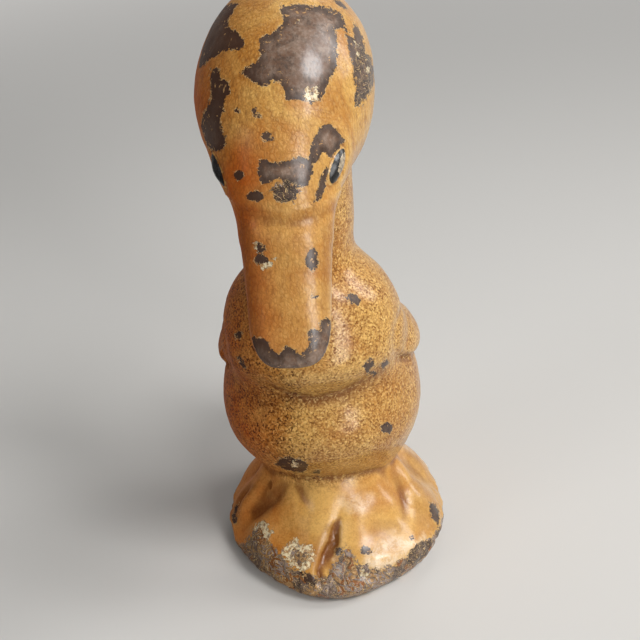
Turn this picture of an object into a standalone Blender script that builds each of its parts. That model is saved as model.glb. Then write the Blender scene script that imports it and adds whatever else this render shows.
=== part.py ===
"""Cast iron duck paperweight: two hollow half castings held together by one slotted machine screw.

Metres, +Z up. The duck stands on the plane z = 0, looks along -Y, and its mid-plane is x = 0.
The left casting lies on the duck's left, at +X, and takes the screw's thread.
"""

import math

import bmesh
import bpy
import numpy as np
from mathutils import Matrix, Vector

# Fits and casting walls
PART_GAP = 0.0003  # between the two castings, and round the screw
WALL = 0.0031  # casting wall at the belly, chest and head
FLOOR = 0.0055  # solid metal under the body's hollow

# Pad formed by the two webbed feet
PAD_HALF_WIDTH = 0.0149
PAD_FRONT = 0.0172  # from the pad's centre to the front of the toes
PAD_BACK = 0.0160
PAD_Y = -0.0016
PAD_TURN = math.radians(16.5)  # the pad points to the duck's left
LEFT_FLAT_ANGLE, LEFT_FLAT_REACH = math.radians(18.7), 0.0166  # straighter edge across the left toes
RIGHT_FLAT_ANGLE, RIGHT_FLAT_REACH = math.radians(-56), 0.0159
PAD_FLAT_BLEND = 18  # how sharply those edges turn into the rounded outline
PAD_RIM_HEIGHT = 0.0019  # where the worn rim stands out furthest
PAD_EDGE_HEIGHT = 0.0046  # top of the toes at the rim
PAD_SOLE_INSET = 0.0010  # how far the rim draws in again at the sole
INSTEP_HEIGHT = 0.0122  # where the feet run into the belly
INSTEP_HALF_WIDTH = 0.0086
INSTEP_HALF_DEPTH = 0.0084
TOE_VALLEY_DEPTH = 0.0010
INNER_VALLEY_ANGLE = math.radians(62)  # valleys on either side of the outer toe, from straight ahead
OUTER_VALLEY_ANGLE = math.radians(97)
TOE_VALLEY_SPREAD = math.radians(10)
CLEFT_DEPTH = 0.0020  # notch between the two feet
CLEFT_SPREAD = math.radians(7)
CLEFT_LEAN = math.radians(16)  # round the pad, from the rim to the instep

# Body and neck: centre line, height, half width, and reach forwards and backwards from the centre line
LEG_Y, LEG_HEIGHT, LEG_HALF_WIDTH, LEG_FRONT, LEG_BACK = 0.0004, 0.0080, 0.0058, 0.0050, 0.0062
HIP_Y, HIP_HEIGHT, HIP_HALF_WIDTH, HIP_FRONT, HIP_BACK = 0.0004, 0.0127, 0.0107, 0.0088, 0.0106
BELLY_Y, BELLY_HEIGHT, BELLY_HALF_WIDTH, BELLY_FRONT, BELLY_BACK = 0.0002, 0.0208, 0.0133, 0.0136, 0.0132
WAIST_Y, WAIST_HEIGHT, WAIST_HALF_WIDTH, WAIST_FRONT, WAIST_BACK = 0.0002, 0.0278, 0.0122, 0.0115, 0.0122
CHEST_Y, CHEST_HEIGHT, CHEST_HALF_WIDTH, CHEST_FRONT, CHEST_BACK = -0.0018, 0.0322, 0.0119, 0.0116, 0.0128
SHOULDER_Y, SHOULDER_HEIGHT = -0.0022, 0.0384
SHOULDER_HALF_WIDTH, SHOULDER_FRONT, SHOULDER_BACK = 0.0101, 0.0086, 0.0100
COLLAR_Y, COLLAR_HALF_WIDTH, COLLAR_FRONT, COLLAR_BACK = -0.0004, 0.0059, 0.0078, 0.0058
COLLAR_RISE = 0.53  # where the neck springs from the shoulders, as a share of the way up to the neck's height
NECK_Y, NECK_HEIGHT, NECK_HALF_WIDTH, NECK_FRONT, NECK_BACK = 0.0004, 0.0478, 0.0061, 0.0074, 0.0056
NAPE_Y, NAPE_HEIGHT, NAPE_HALF_WIDTH, NAPE_FRONT, NAPE_BACK = 0.0004, 0.0600, 0.0066, 0.0070, 0.0038

# Head and bill
HEAD_RADIUS = 0.0103
HEAD_LENGTH = 0.0133  # half length of the skull along the bill's line
HEAD_Y, HEAD_HEIGHT = -0.0032, 0.0652
HEAD_TILT = math.radians(38)  # below level
BROW_Y, BROW_HEIGHT = -0.0112, 0.0606
BROW_HALF_WIDTH, BROW_TOP, BROW_CHIN = 0.0080, 0.0072, 0.0070
ROOT_Y, ROOT_HEIGHT = -0.0158, 0.0556
ROOT_HALF_WIDTH, ROOT_TOP, ROOT_CHIN = 0.0055, 0.0038, 0.0042
ROOT_TILT = math.radians(68)  # below level
BILL_TILT = math.radians(54)  # of the spoon: the bill curves forwards from its root
BILL_LENGTH = 0.0168  # from the root to the tip
BILL_MID_HALF_WIDTH, BILL_MID_TOP, BILL_MID_CHIN = 0.0051, 0.0030, 0.0027
BILL_SPOON_HALF_WIDTH, BILL_SPOON_TOP, BILL_SPOON_CHIN = 0.0048, 0.0021, 0.0018
EYE_Y, EYE_HEIGHT, EYE_SIDE = -0.0142, 0.0610, 0.0062
EYE_LENGTH, EYE_WIDTH, EYE_RISE = 0.0042, 0.0028, 0.0030

# Wings, folded along the flanks
WING_ROOT_SIDE, WING_ROOT_Y, WING_ROOT_HEIGHT = 0.0106, -0.0066, 0.0311
WING_TIP_SIDE, WING_TIP_Y, WING_TIP_HEIGHT = 0.0114, 0.0110, 0.0272
WING_WIDTH, WING_THICKNESS = 0.0082, 0.0042
WING_TAPER = 0.25  # how much narrower and thinner the tip is
WING_BEND = 0.0140  # radius of its curve round the flank
WING_FLARE = math.radians(28)  # how far the lower edge stands off

# Upturned tail
TAIL_ROOT_Y, TAIL_ROOT_HEIGHT = 0.0070, 0.0205
TAIL_TIP_Y, TAIL_TIP_HEIGHT = 0.0185, 0.0302
TAIL_ROOT_HALF_WIDTH, TAIL_TIP_HALF_WIDTH = 0.0084, 0.0026
TAIL_ROOT_THICKNESS, TAIL_TIP_THICKNESS = 0.0120, 0.0022
TAIL_CURL = 0.0012  # how far the tail's middle sags below the line from root to tip

# Assembly screw, across the belly, its head sunk in the right flank
SCREW_Y, SCREW_HEIGHT = 0.0030, 0.0215
SCREW_RADIUS = 0.00175
SCREW_HEAD_RADIUS = 0.0031
SCREW_HEAD_HEIGHT = 0.0021
SCREW_HEAD_DOME = 0.0005
SCREW_SLOT_WIDTH, SCREW_SLOT_DEPTH = 0.0008, 0.0010
SCREW_SLOT_TURN = 20  # degrees, as the screw came to rest when it was tightened
SCREW_SEAT_DEPTH = 0.0032  # from the flank's furthest point to the seat under the head
SCREW_ENGAGEMENT = 0.0068  # thread in the left casting's boss
BOSS_RADIUS = 0.0038

# Cast-in locating nibs on the left casting's joint face, and their sockets in the right one
NIB_RADIUS, NIB_HEIGHT = 0.0008, 0.0011
FOOT_NIB_Y, FOOT_NIB_HEIGHT = -0.0100, 0.0034
HEEL_NIB_Y, HEEL_NIB_HEIGHT = 0.0078, 0.0034

# Mesh fineness
RING_POINTS = 48
SWEEP_STEPS = 6  # between two stations
CAST_VOXEL = 0.00075
FILLET_PASSES = 14  # smoothing where head, neck, body and tail run together
EDGE_PASSES = 4  # smoothing of the whole figure
CAST_KEEP = 0.16
CORE_POINTS = 20


def monotone(stations, steps):
    """Every column of stations, read evenly between them without overshoot."""
    table = np.array(stations, float)
    rise = np.diff(table, axis=0)
    slope = np.zeros_like(table)
    slope[0], slope[-1] = rise[0], rise[-1]
    product = rise[:-1] * rise[1:]
    total = np.where(product > 0, rise[:-1] + rise[1:], 1.0)
    slope[1:-1] = np.where(product > 0, 2 * product / total, 0.0)
    rows = []
    for k in range(len(table) - 1):
        for t in np.arange(steps) / steps:
            rows.append(
                table[k] * (1 + 2 * t) * (1 - t) ** 2
                + table[k + 1] * t * t * (3 - 2 * t)
                + slope[k] * t * (1 - t) ** 2
                + slope[k + 1] * t * t * (t - 1)
            )
    return rows + [table[-1]]


def loft(rings):
    """A closed bmesh through rings of equally many points."""
    mesh = bmesh.new()
    made = [[mesh.verts.new(point) for point in ring] for ring in rings]
    for low, high in zip(made, made[1:]):
        for k in range(len(low)):
            after = (k + 1) % len(low)
            mesh.faces.new((low[k], low[after], high[after], high[k]))
    mesh.faces.new(made[0][::-1])
    mesh.faces.new(made[-1])
    bmesh.ops.recalc_face_normals(mesh, faces=mesh.faces)
    return mesh


def sweep(stations, points=RING_POINTS, inset=0.0):
    """Lofts stations (y, z, tilt, half width, upper reach, lower reach) along the mid-plane.

    The tilt is the sweep's direction below level, forwards; the upper reach lies square to it.
    """
    rings = []
    for y, z, tilt, half_width, upper, lower in monotone(stations, SWEEP_STEPS):
        up = Vector((0, -math.sin(tilt), math.cos(tilt)))
        centre = Vector((0, y, z))
        ring = []
        for k in range(points):
            angle = 2 * math.pi * k / points
            reach = upper if math.sin(angle) > 0 else lower
            across = Vector((max(half_width - inset, 0.0) * math.cos(angle), 0, 0))
            ring.append(centre + across + up * max(reach - inset, 0.0) * math.sin(angle))
        rings.append(ring)
    return loft(rings)


def ellipsoid(centre, half_sizes, turn=Matrix.Identity(3), points=RING_POINTS, taper=0.0):
    """A ball stretched to half_sizes, its height and depth drawn in towards +Y by taper, turned and moved."""
    mesh = bmesh.new()
    bmesh.ops.create_uvsphere(mesh, u_segments=points, v_segments=points // 2, radius=1)
    for vertex in mesh.verts:
        drawn = 1 - taper * (vertex.co.y + 1) / 2
        local = Vector((vertex.co.x * drawn, vertex.co.y, vertex.co.z * drawn))
        sized = Vector(a * b for a, b in zip(local, half_sizes))
        vertex.co = turn @ sized + Vector(centre)
    return mesh


def object_of(name, mesh, collection):
    data = bpy.data.meshes.new(name)
    mesh.to_mesh(data)
    mesh.free()
    made = bpy.data.objects.new(name, data)
    collection.objects.link(made)
    return made


def joined(meshes):
    """One bmesh that holds all of them."""
    whole = bmesh.new()
    for mesh in meshes:
        data = bpy.data.meshes.new("form")
        mesh.to_mesh(data)
        mesh.free()
        whole.from_mesh(data)
        bpy.data.meshes.remove(data)
    return whole


def body_stations():
    """The body from the legs up to the nape; its sweep runs straight up."""
    up = math.radians(-90)
    collar_height = SHOULDER_HEIGHT + (NECK_HEIGHT - SHOULDER_HEIGHT) * COLLAR_RISE
    rows = (
        (LEG_Y, LEG_HEIGHT, up, LEG_HALF_WIDTH, LEG_BACK, LEG_FRONT),
        (HIP_Y, HIP_HEIGHT, up, HIP_HALF_WIDTH, HIP_BACK, HIP_FRONT),
        (BELLY_Y, BELLY_HEIGHT, up, BELLY_HALF_WIDTH, BELLY_BACK, BELLY_FRONT),
        (WAIST_Y, WAIST_HEIGHT, up, WAIST_HALF_WIDTH, WAIST_BACK, WAIST_FRONT),
        (CHEST_Y, CHEST_HEIGHT, up, CHEST_HALF_WIDTH, CHEST_BACK, CHEST_FRONT),
        (SHOULDER_Y, SHOULDER_HEIGHT, up, SHOULDER_HALF_WIDTH, SHOULDER_BACK, SHOULDER_FRONT),
        (COLLAR_Y, collar_height, up, COLLAR_HALF_WIDTH, COLLAR_BACK, COLLAR_FRONT),
        (NECK_Y, NECK_HEIGHT, up, NECK_HALF_WIDTH, NECK_BACK, NECK_FRONT),
        (NAPE_Y, NAPE_HEIGHT, up, NAPE_HALF_WIDTH, NAPE_BACK, NAPE_FRONT),
    )
    return rows


def bill_stations():
    """The brow, the bill's root, its middle and its spoon-shaped end."""
    bend = BILL_TILT - ROOT_TILT

    def along(share, half_width, top, chin):
        mean = ROOT_TILT + bend * share / 2
        y = ROOT_Y - BILL_LENGTH * share * math.cos(mean)
        z = ROOT_HEIGHT - BILL_LENGTH * share * math.sin(mean)
        return (y, z, ROOT_TILT + bend * share, half_width, top, chin)

    spoon = (BILL_SPOON_HALF_WIDTH, BILL_SPOON_TOP, BILL_SPOON_CHIN)
    return [
        (HEAD_Y, HEAD_HEIGHT, HEAD_TILT, HEAD_RADIUS * 0.94, HEAD_RADIUS * 0.94, HEAD_RADIUS * 0.9),
        (BROW_Y, BROW_HEIGHT, HEAD_TILT, BROW_HALF_WIDTH, BROW_TOP, BROW_CHIN),
        along(0.0, ROOT_HALF_WIDTH, ROOT_TOP, ROOT_CHIN),
        along(0.4, BILL_MID_HALF_WIDTH, BILL_MID_TOP, BILL_MID_CHIN),
        along(0.78, *spoon),
        along(0.93, *(size * 0.8 for size in spoon)),
        along(1.0, *(size * 0.4 for size in spoon)),
    ]


def tail_stations():
    """The tail, rising backwards from the rump and thinning to a rounded edge."""
    run = Vector((TAIL_TIP_Y - TAIL_ROOT_Y, TAIL_TIP_HEIGHT - TAIL_ROOT_HEIGHT))
    slope = math.atan2(run.y, run.x)
    rows = []
    for share in (0.0, 0.3, 0.6, 0.88, 0.97, 1.0):
        sag = TAIL_CURL * math.sin(math.pi * share)
        half_width = TAIL_ROOT_HALF_WIDTH + (TAIL_TIP_HALF_WIDTH - TAIL_ROOT_HALF_WIDTH) * share
        half = (TAIL_ROOT_THICKNESS + (TAIL_TIP_THICKNESS - TAIL_ROOT_THICKNESS) * share) / 2
        end = math.sqrt(max(1 - ((share - 0.88) / 0.13) ** 2, 0.0)) if share > 0.88 else 1.0
        y = TAIL_ROOT_Y + run.x * share + sag * math.sin(slope)
        z = TAIL_ROOT_HEIGHT + run.y * share - sag * math.cos(slope)
        rows.append((y, z, math.pi + slope, half_width * end, half * end, half * end))
    return rows


def valley(angle, middle, spread):
    """1 at the valley's middle, on either side of the duck, fading away within its spread."""
    return math.exp(-(((abs(angle) - middle) / spread) ** 2))


def pad_outline(ahead):
    """How far the pad reaches from its centre, at an angle from straight ahead."""
    depth = PAD_FRONT if abs(ahead) < math.pi / 2 else PAD_BACK
    rounded = math.hypot(math.sin(ahead) / PAD_HALF_WIDTH, math.cos(ahead) / depth)
    left = max(math.cos(ahead - LEFT_FLAT_ANGLE), 0.0) / LEFT_FLAT_REACH
    right = max(math.cos(ahead - RIGHT_FLAT_ANGLE), 0.0) / RIGHT_FLAT_REACH
    return sum(side**PAD_FLAT_BLEND for side in (rounded, left, right)) ** (-1 / PAD_FLAT_BLEND)


def pad():
    """Both webbed feet as one flared pad: toes, webs, the cleft between the feet, and the sole."""
    # height, share of the way up to the instep, rim inset, depth of the valleys, depth of the cleft
    levels = (
        (-PAD_RIM_HEIGHT, 0.0, -2.2 * PAD_SOLE_INSET, 0.0, 0.0),
        (0.0, 0.0, -PAD_SOLE_INSET, 0.0, 0.0),
        (PAD_RIM_HEIGHT, 0.0, 0.0, 0.1, 0.0),
        (PAD_EDGE_HEIGHT, 0.16, 0.0, 0.8, 0.8),
        ((PAD_EDGE_HEIGHT + INSTEP_HEIGHT) / 2, 0.60, 0.0, 1.2, 0.5),
        (INSTEP_HEIGHT, 1.0, 0.0, 0.4, 0.0),
        (INSTEP_HEIGHT + PAD_EDGE_HEIGHT, 1.2, 0.0, 0.0, 0.0),
    )
    rings = []
    for z, rise, inset, relief, parting in monotone(levels, 4):
        ring = []
        for k in range(2 * RING_POINTS):
            turn = 2 * math.pi * k / (2 * RING_POINTS)
            ahead = math.atan2(math.cos(turn), -math.sin(turn))
            out = Matrix.Rotation(PAD_TURN, 3, "Z") @ Vector((math.sin(ahead), -math.cos(ahead), 0))
            instep = 1 / math.hypot(out.x / INSTEP_HALF_WIDTH, out.y / INSTEP_HALF_DEPTH)
            reach = pad_outline(ahead) * (1 - rise) + instep * rise + inset
            square = ahead + PAD_TURN
            cut = valley(square, INNER_VALLEY_ANGLE, TOE_VALLEY_SPREAD)
            cut += valley(square, OUTER_VALLEY_ANGLE, TOE_VALLEY_SPREAD)
            cut *= TOE_VALLEY_DEPTH * relief
            cut += CLEFT_DEPTH * parting * valley(square - CLEFT_LEAN * rise, 0.0, CLEFT_SPREAD)
            ring.append(Vector((0, PAD_Y, z)) + out * (reach - cut))
        rings.append(ring)
    return loft(rings)


def wing(side):
    """A folded wing on one flank, side +1 at +X."""
    root = Vector((side * WING_ROOT_SIDE, WING_ROOT_Y, WING_ROOT_HEIGHT))
    tip = Vector((side * WING_TIP_SIDE, WING_TIP_Y, WING_TIP_HEIGHT))
    along = (tip - root).normalized()
    face = Vector((side * math.cos(WING_FLARE), 0, math.sin(WING_FLARE)))
    face = (face - along * face.dot(along)).normalized()
    turn = Matrix((face, along, face.cross(along))).transposed()
    half_sizes = (WING_THICKNESS / 2, (tip - root).length / 2, WING_WIDTH / 2)
    mesh = ellipsoid((root + tip) / 2, half_sizes, turn, taper=WING_TAPER)
    for vertex in mesh.verts:
        vertex.co.x -= side * (vertex.co.y - (root.y + tip.y) / 2) ** 2 / (2 * WING_BEND)
    return mesh


def eye(side):
    """A low almond on one side of the head."""
    tilt = Matrix.Rotation(-HEAD_TILT, 3, "X")
    half_sizes = (EYE_RISE / 2, EYE_WIDTH / 2, EYE_LENGTH / 2)
    return ellipsoid((side * EYE_SIDE, EYE_Y, EYE_HEIGHT), half_sizes, tilt)


def use_modifier(made, kind, **settings):
    modifier = made.modifiers.new(kind.title(), kind)
    for key, value in settings.items():
        setattr(modifier, key, value)
    return modifier


def apply_modifiers(made):
    """Keeps the object's evaluated mesh as its own."""
    graph = bpy.context.evaluated_depsgraph_get()
    kept = bpy.data.meshes.new_from_object(made.evaluated_get(graph))
    made.modifiers.clear()
    made.data = kept


def run_together(name, meshes, passes, collection):
    """One skin over overlapping forms, its inner corners filled by smoothing as in a casting."""
    made = object_of(name, joined(meshes), collection)
    use_modifier(made, "REMESH", mode="VOXEL", voxel_size=CAST_VOXEL)
    use_modifier(made, "SMOOTH", iterations=passes, factor=0.5)
    apply_modifiers(made)
    return made


def figure(collection):
    """The whole duck's outside."""
    head_turn = Matrix.Rotation(HEAD_TILT, 3, "X")
    skull = ellipsoid((0, HEAD_Y, HEAD_HEIGHT), (HEAD_RADIUS, HEAD_LENGTH, HEAD_RADIUS), head_turn)
    trunk = [sweep(body_stations()), skull, sweep(bill_stations()), sweep(tail_stations())]
    soft = run_together("trunk", trunk, FILLET_PASSES, collection)
    added = bmesh.new()
    added.from_mesh(soft.data)
    forms = [added, pad()] + [make(side) for make in (wing, eye) for side in (1, -1)]
    made = run_together("figure", forms, EDGE_PASSES, collection)
    use_modifier(made, "DECIMATE", ratio=CAST_KEEP)
    apply_modifiers(made)
    return made


def box(name, low, high, collection):
    mesh = bmesh.new()
    bmesh.ops.create_cube(mesh, size=1)
    size = [b - a for a, b in zip(low, high)]
    middle = [(a + b) / 2 for a, b in zip(low, high)]
    mesh.transform(Matrix.Translation(middle) @ Matrix.Diagonal((*size, 1)))
    return object_of(name, mesh, collection)


def rod(name, start, end, radius, collection, points=CORE_POINTS):
    """A round rod along X, from one x to the other, centred on (y, z) of start."""
    mesh = bmesh.new()
    depth = abs(end[0] - start[0])
    bmesh.ops.create_cone(
        mesh, cap_ends=True, segments=points, radius1=radius, radius2=radius, depth=depth
    )
    middle = Vector(((start[0] + end[0]) / 2, start[1], start[2]))
    mesh.transform(Matrix.Translation(middle) @ Matrix.Rotation(math.pi / 2, 4, "Y"))
    return object_of(name, mesh, collection)


def core(collection):
    """The sand core that leaves both castings hollow: body, neck and head in one."""
    rows = [list(row) for row in body_stations()]
    rows[0][1] = FLOOR
    rows[0][3:] = [size * 0.9 for size in rows[0][3:]]
    body = sweep(rows, CORE_POINTS, WALL)
    hollow = [HEAD_RADIUS - WALL, HEAD_LENGTH - WALL, HEAD_RADIUS - WALL]
    turn = Matrix.Rotation(HEAD_TILT, 3, "X")
    skull = ellipsoid((0, HEAD_Y, HEAD_HEIGHT), hollow, turn, CORE_POINTS)
    made = object_of("core", body, collection)
    crown = object_of("core_head", skull, collection)
    combine(made, crown, "UNION")
    return made


def combine(made, other, operation):
    """A Boolean, kept in the mesh."""
    use_modifier(made, "BOOLEAN", object=other, operation=operation, solver="EXACT")
    apply_modifiers(made)


def centre_lengthwise(parts):
    """Moves every piece along Y until the origin lies under the middle of the duck's length."""
    bpy.context.view_layer.update()
    ys = [(made.matrix_world @ Vector(corner)).y for made in parts.objects for corner in made.bound_box]
    for made in parts.objects:
        made.location.y -= (min(ys) + max(ys)) / 2


def hide_guides(collection):
    for guide in collection.objects:
        guide.hide_render = True
        guide.display_type = "WIRE"


def nib_places():
    return ((FOOT_NIB_Y, FOOT_NIB_HEIGHT), (HEEL_NIB_Y, HEEL_NIB_HEIGHT))


def flank(height):
    """The body's half width at a height between the hips and the waist."""
    rows = monotone(body_stations(), 24)
    return float(np.interp(height, [row[1] for row in rows], [row[3] for row in rows]))


def screw_lengths():
    """The x of the seat under the screw's head, and of the screw's far end."""
    seat = -(flank(SCREW_HEIGHT) - SCREW_SEAT_DEPTH)
    return seat, PART_GAP / 2 + SCREW_ENGAGEMENT


def casting(name, side, outside, hollow, parts, guides):
    """One half casting: side +1 is the duck's left."""
    near, far = PART_GAP / 2, 2 * PAD_HALF_WIDTH
    reach = 0.2
    low = (near if side > 0 else -far, -reach, 0)
    high = (far if side > 0 else -near, reach, reach)
    made = bpy.data.objects.new(name, outside.data.copy())
    parts.objects.link(made)
    combine(made, box(name + "_space", low, high, guides), "INTERSECT")
    combine(made, hollow, "DIFFERENCE")

    place = (SCREW_Y, SCREW_HEIGHT)
    seat, end = screw_lengths()
    inner = flank(SCREW_HEIGHT) - WALL * 0.9
    boss = rod(name + "_boss", (side * near, *place), (side * inner, *place), BOSS_RADIUS, guides)
    combine(made, boss, "UNION")
    if side > 0:
        tapped = (0, *place), (end + PART_GAP, *place)
        hole = rod(name + "_tapped", *tapped, SCREW_RADIUS + PART_GAP, guides)
        combine(made, hole, "DIFFERENCE")
        for k, (y, z) in enumerate(nib_places()):
            peg = rod(f"nib_{k}", (-NIB_HEIGHT, y, z), (2 * near, y, z), NIB_RADIUS, guides)
            combine(made, peg, "UNION")
    else:
        past = seat - SCREW_HEAD_HEIGHT
        bore = rod(name + "_bore", (past, *place), (0, *place), SCREW_RADIUS + PART_GAP, guides)
        combine(made, bore, "DIFFERENCE")
        sunk = rod(
            name + "_sunk", (-far, *place), (seat, *place), SCREW_HEAD_RADIUS + PART_GAP, guides, 32
        )
        combine(made, sunk, "DIFFERENCE")
        for k, (y, z) in enumerate(nib_places()):
            ends = (-NIB_HEIGHT - PART_GAP, y, z), (0, y, z)
            socket = rod(f"socket_{k}", *ends, NIB_RADIUS + PART_GAP, guides)
            combine(made, socket, "DIFFERENCE")
    return made


def assembly_screw(parts, guides):
    """A slotted machine screw, turned about its own axis and laid along X."""
    seat, end = screw_lengths()
    length = end - seat - PART_GAP
    crown = SCREW_HEAD_HEIGHT
    chamfer = SCREW_RADIUS * 0.3
    profile = (
        (0.0, crown),
        (SCREW_HEAD_RADIUS * 0.6, crown - SCREW_HEAD_DOME * 0.3),
        (SCREW_HEAD_RADIUS * 0.9, crown - SCREW_HEAD_DOME * 0.8),
        (SCREW_HEAD_RADIUS, crown - SCREW_HEAD_DOME * 1.3),
        (SCREW_HEAD_RADIUS, 0.0),
        (SCREW_RADIUS, 0.0),
        (SCREW_RADIUS, chamfer - length),
        (SCREW_RADIUS - chamfer, -length),
        (0.0, -length),
    )
    mesh = bmesh.new()
    line = [mesh.verts.new((radius, 0, z)) for radius, z in profile]
    for a, b in zip(line, line[1:]):
        mesh.edges.new((a, b))
    made = object_of("assembly_screw", mesh, parts)
    use_modifier(
        made, "SCREW", axis="Z", steps=32, render_steps=32, use_merge_vertices=True, merge_threshold=1e-6
    )
    apply_modifiers(made)
    deep = crown - SCREW_SLOT_DEPTH
    low = (-2 * SCREW_HEAD_RADIUS, -SCREW_SLOT_WIDTH / 2, deep)
    high = (2 * SCREW_HEAD_RADIUS, SCREW_SLOT_WIDTH / 2, 2 * crown)
    combine(made, box("screw_slot", low, high, guides), "DIFFERENCE")
    made.rotation_mode = "ZYX"
    made.rotation_euler = (0, -math.pi / 2, math.radians(SCREW_SLOT_TURN))
    made.location = (seat - PART_GAP, SCREW_Y, SCREW_HEIGHT)
    return made


def finish(name, colour, roughness, metallic):
    made = bpy.data.materials.new(name)
    made.use_nodes = True
    shader = made.node_tree.nodes["Principled BSDF"]
    shader.inputs["Base Color"].default_value = (*colour, 1)
    shader.inputs["Roughness"].default_value = roughness
    shader.inputs["Metallic"].default_value = metallic
    made.diffuse_color = (*colour, 1)
    return made


def shade(made, material, sharp=math.radians(40)):
    made.data.materials.clear()
    made.data.materials.append(material)
    made.data.shade_smooth()
    made.data.set_sharp_from_angle(angle=sharp)


def new_collection(name):
    made = bpy.data.collections.new(name)
    bpy.context.scene.collection.children.link(made)
    return made


def main():
    for old in list(bpy.data.objects):
        bpy.data.objects.remove(old, do_unlink=True)
    parts = new_collection("duck_paperweight")
    guides = new_collection("cutters")

    outside = figure(guides)
    hollow = core(guides)
    left = casting("left_casting", 1, outside, hollow, parts, guides)
    right = casting("right_casting", -1, outside, hollow, parts, guides)
    screw = assembly_screw(parts, guides)

    shade(left, finish("ochre_paint_left", (0.53, 0.27, 0.045), 0.42, 0.0))
    shade(right, finish("ochre_paint_right", (0.53, 0.27, 0.045), 0.42, 0.0))
    shade(screw, finish("aged_steel", (0.11, 0.09, 0.08), 0.5, 1.0))
    centre_lengthwise(parts)
    hide_guides(guides)


main()
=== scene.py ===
import math

import bmesh
import bpy
import numpy as np
from mathutils import Matrix, Vector, interpolate, noise
from mathutils.bvhtree import BVHTree


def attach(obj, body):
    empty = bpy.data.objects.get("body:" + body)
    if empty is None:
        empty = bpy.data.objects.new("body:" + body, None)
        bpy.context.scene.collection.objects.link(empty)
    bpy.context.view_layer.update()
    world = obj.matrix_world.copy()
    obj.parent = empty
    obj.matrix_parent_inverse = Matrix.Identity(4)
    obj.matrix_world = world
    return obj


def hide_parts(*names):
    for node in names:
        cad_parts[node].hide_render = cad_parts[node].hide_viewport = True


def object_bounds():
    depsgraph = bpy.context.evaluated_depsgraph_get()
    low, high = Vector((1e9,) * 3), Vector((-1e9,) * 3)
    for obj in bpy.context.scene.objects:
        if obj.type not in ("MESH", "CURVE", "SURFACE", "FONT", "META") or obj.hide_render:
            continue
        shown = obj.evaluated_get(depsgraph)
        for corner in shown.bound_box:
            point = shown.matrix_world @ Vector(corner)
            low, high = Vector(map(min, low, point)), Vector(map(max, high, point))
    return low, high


# Painted cast iron duck paperweight: two castings and the screw that joins them.
# Lengths are in metres. The duck looks along -Y, and its mid-plane is x = 0.

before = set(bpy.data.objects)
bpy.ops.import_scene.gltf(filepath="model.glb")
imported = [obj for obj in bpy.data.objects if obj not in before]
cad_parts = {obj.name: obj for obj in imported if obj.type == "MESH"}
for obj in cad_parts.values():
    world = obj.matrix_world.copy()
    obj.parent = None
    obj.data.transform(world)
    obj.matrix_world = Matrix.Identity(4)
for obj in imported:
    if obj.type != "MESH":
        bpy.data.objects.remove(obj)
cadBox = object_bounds()
print("stage: packed model loaded")

# Camera, as the photograph was taken
photoCamera = {
    "lens": 70.3,  # mm
    "sensor": 36,  # mm
    "azimuth": 7.64,  # degrees round the duck, towards its left
    "pitch": 32.35,  # degrees down
    "roll": -6.22,
    "target": (0.00085, -0.00287, 0.03398),  # in the figure's own frame
    "distance": 0.15744,
    "pixels": 640,  # across the photograph
}

# The figure's forms, in its own frame
fineness = {
    "coarse": 0.00075,  # the forms' first skin
    "fine": 0.00034,  # the finished skin
    "fillets": 14,
    "joints": 3,
    "ringPoints": 72,
    "steps": 8,
}


def easeRows(rows, steps):
    table = np.array(rows, float)
    rise = np.diff(table, axis=0)
    slope = np.zeros_like(table)
    slope[0], slope[-1] = rise[0], rise[-1]
    product = rise[:-1] * rise[1:]
    total = np.where(product > 0, rise[:-1] + rise[1:], 1.0)
    slope[1:-1] = np.where(product > 0, 2 * product / total, 0.0)
    made = []
    for k in range(len(table) - 1):
        for t in np.arange(steps) / steps:
            made.append(table[k] * (1 + 2 * t) * (1 - t) ** 2 + table[k + 1] * t * t * (3 - 2 * t)
                        + slope[k] * t * (1 - t) ** 2 + slope[k + 1] * t * t * (t - 1))
    return made + [table[-1]]


def smoothStep(values, low, high):
    t = np.clip((values - low) / (high - low), 0, 1)
    return t * t * (3 - 2 * t)


def skinOver(rings):
    mesh = bmesh.new()
    made = [[mesh.verts.new(point) for point in ring] for ring in rings]
    for low, high in zip(made, made[1:]):
        for k in range(len(low)):
            after = (k + 1) % len(low)
            mesh.faces.new((low[k], low[after], high[after], high[k]))
    mesh.faces.new(made[0][::-1])
    mesh.faces.new(made[-1])
    bmesh.ops.recalc_face_normals(mesh, faces=mesh.faces)
    return mesh


def sweepForm(rows):  # y, z, tilt below level, half width, reach up, reach down
    rings = []
    for y, z, tilt, halfWidth, upper, lower in easeRows(rows, fineness["steps"]):
        up = Vector((0, -math.sin(tilt), math.cos(tilt)))
        ring = []
        for k in range(fineness["ringPoints"]):
            angle = 2 * math.pi * k / fineness["ringPoints"]
            reach = upper if math.sin(angle) > 0 else lower
            ring.append(Vector((halfWidth * math.cos(angle), y, z)) + up * reach * math.sin(angle))
        rings.append(ring)
    return skinOver(rings)


def ballForm(centre, halfSizes, turn, taper=0.0):
    mesh = bmesh.new()
    around = fineness["ringPoints"]
    bmesh.ops.create_uvsphere(mesh, u_segments=around, v_segments=around // 2, radius=1)
    for vertex in mesh.verts:
        x, y, z = vertex.co
        drawn = 1 - taper * (y + 1) / 2
        local = Vector((x * drawn * halfSizes[0], y * halfSizes[1], z * drawn * halfSizes[2]))
        vertex.co = turn @ local + Vector(centre)
    return mesh


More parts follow.
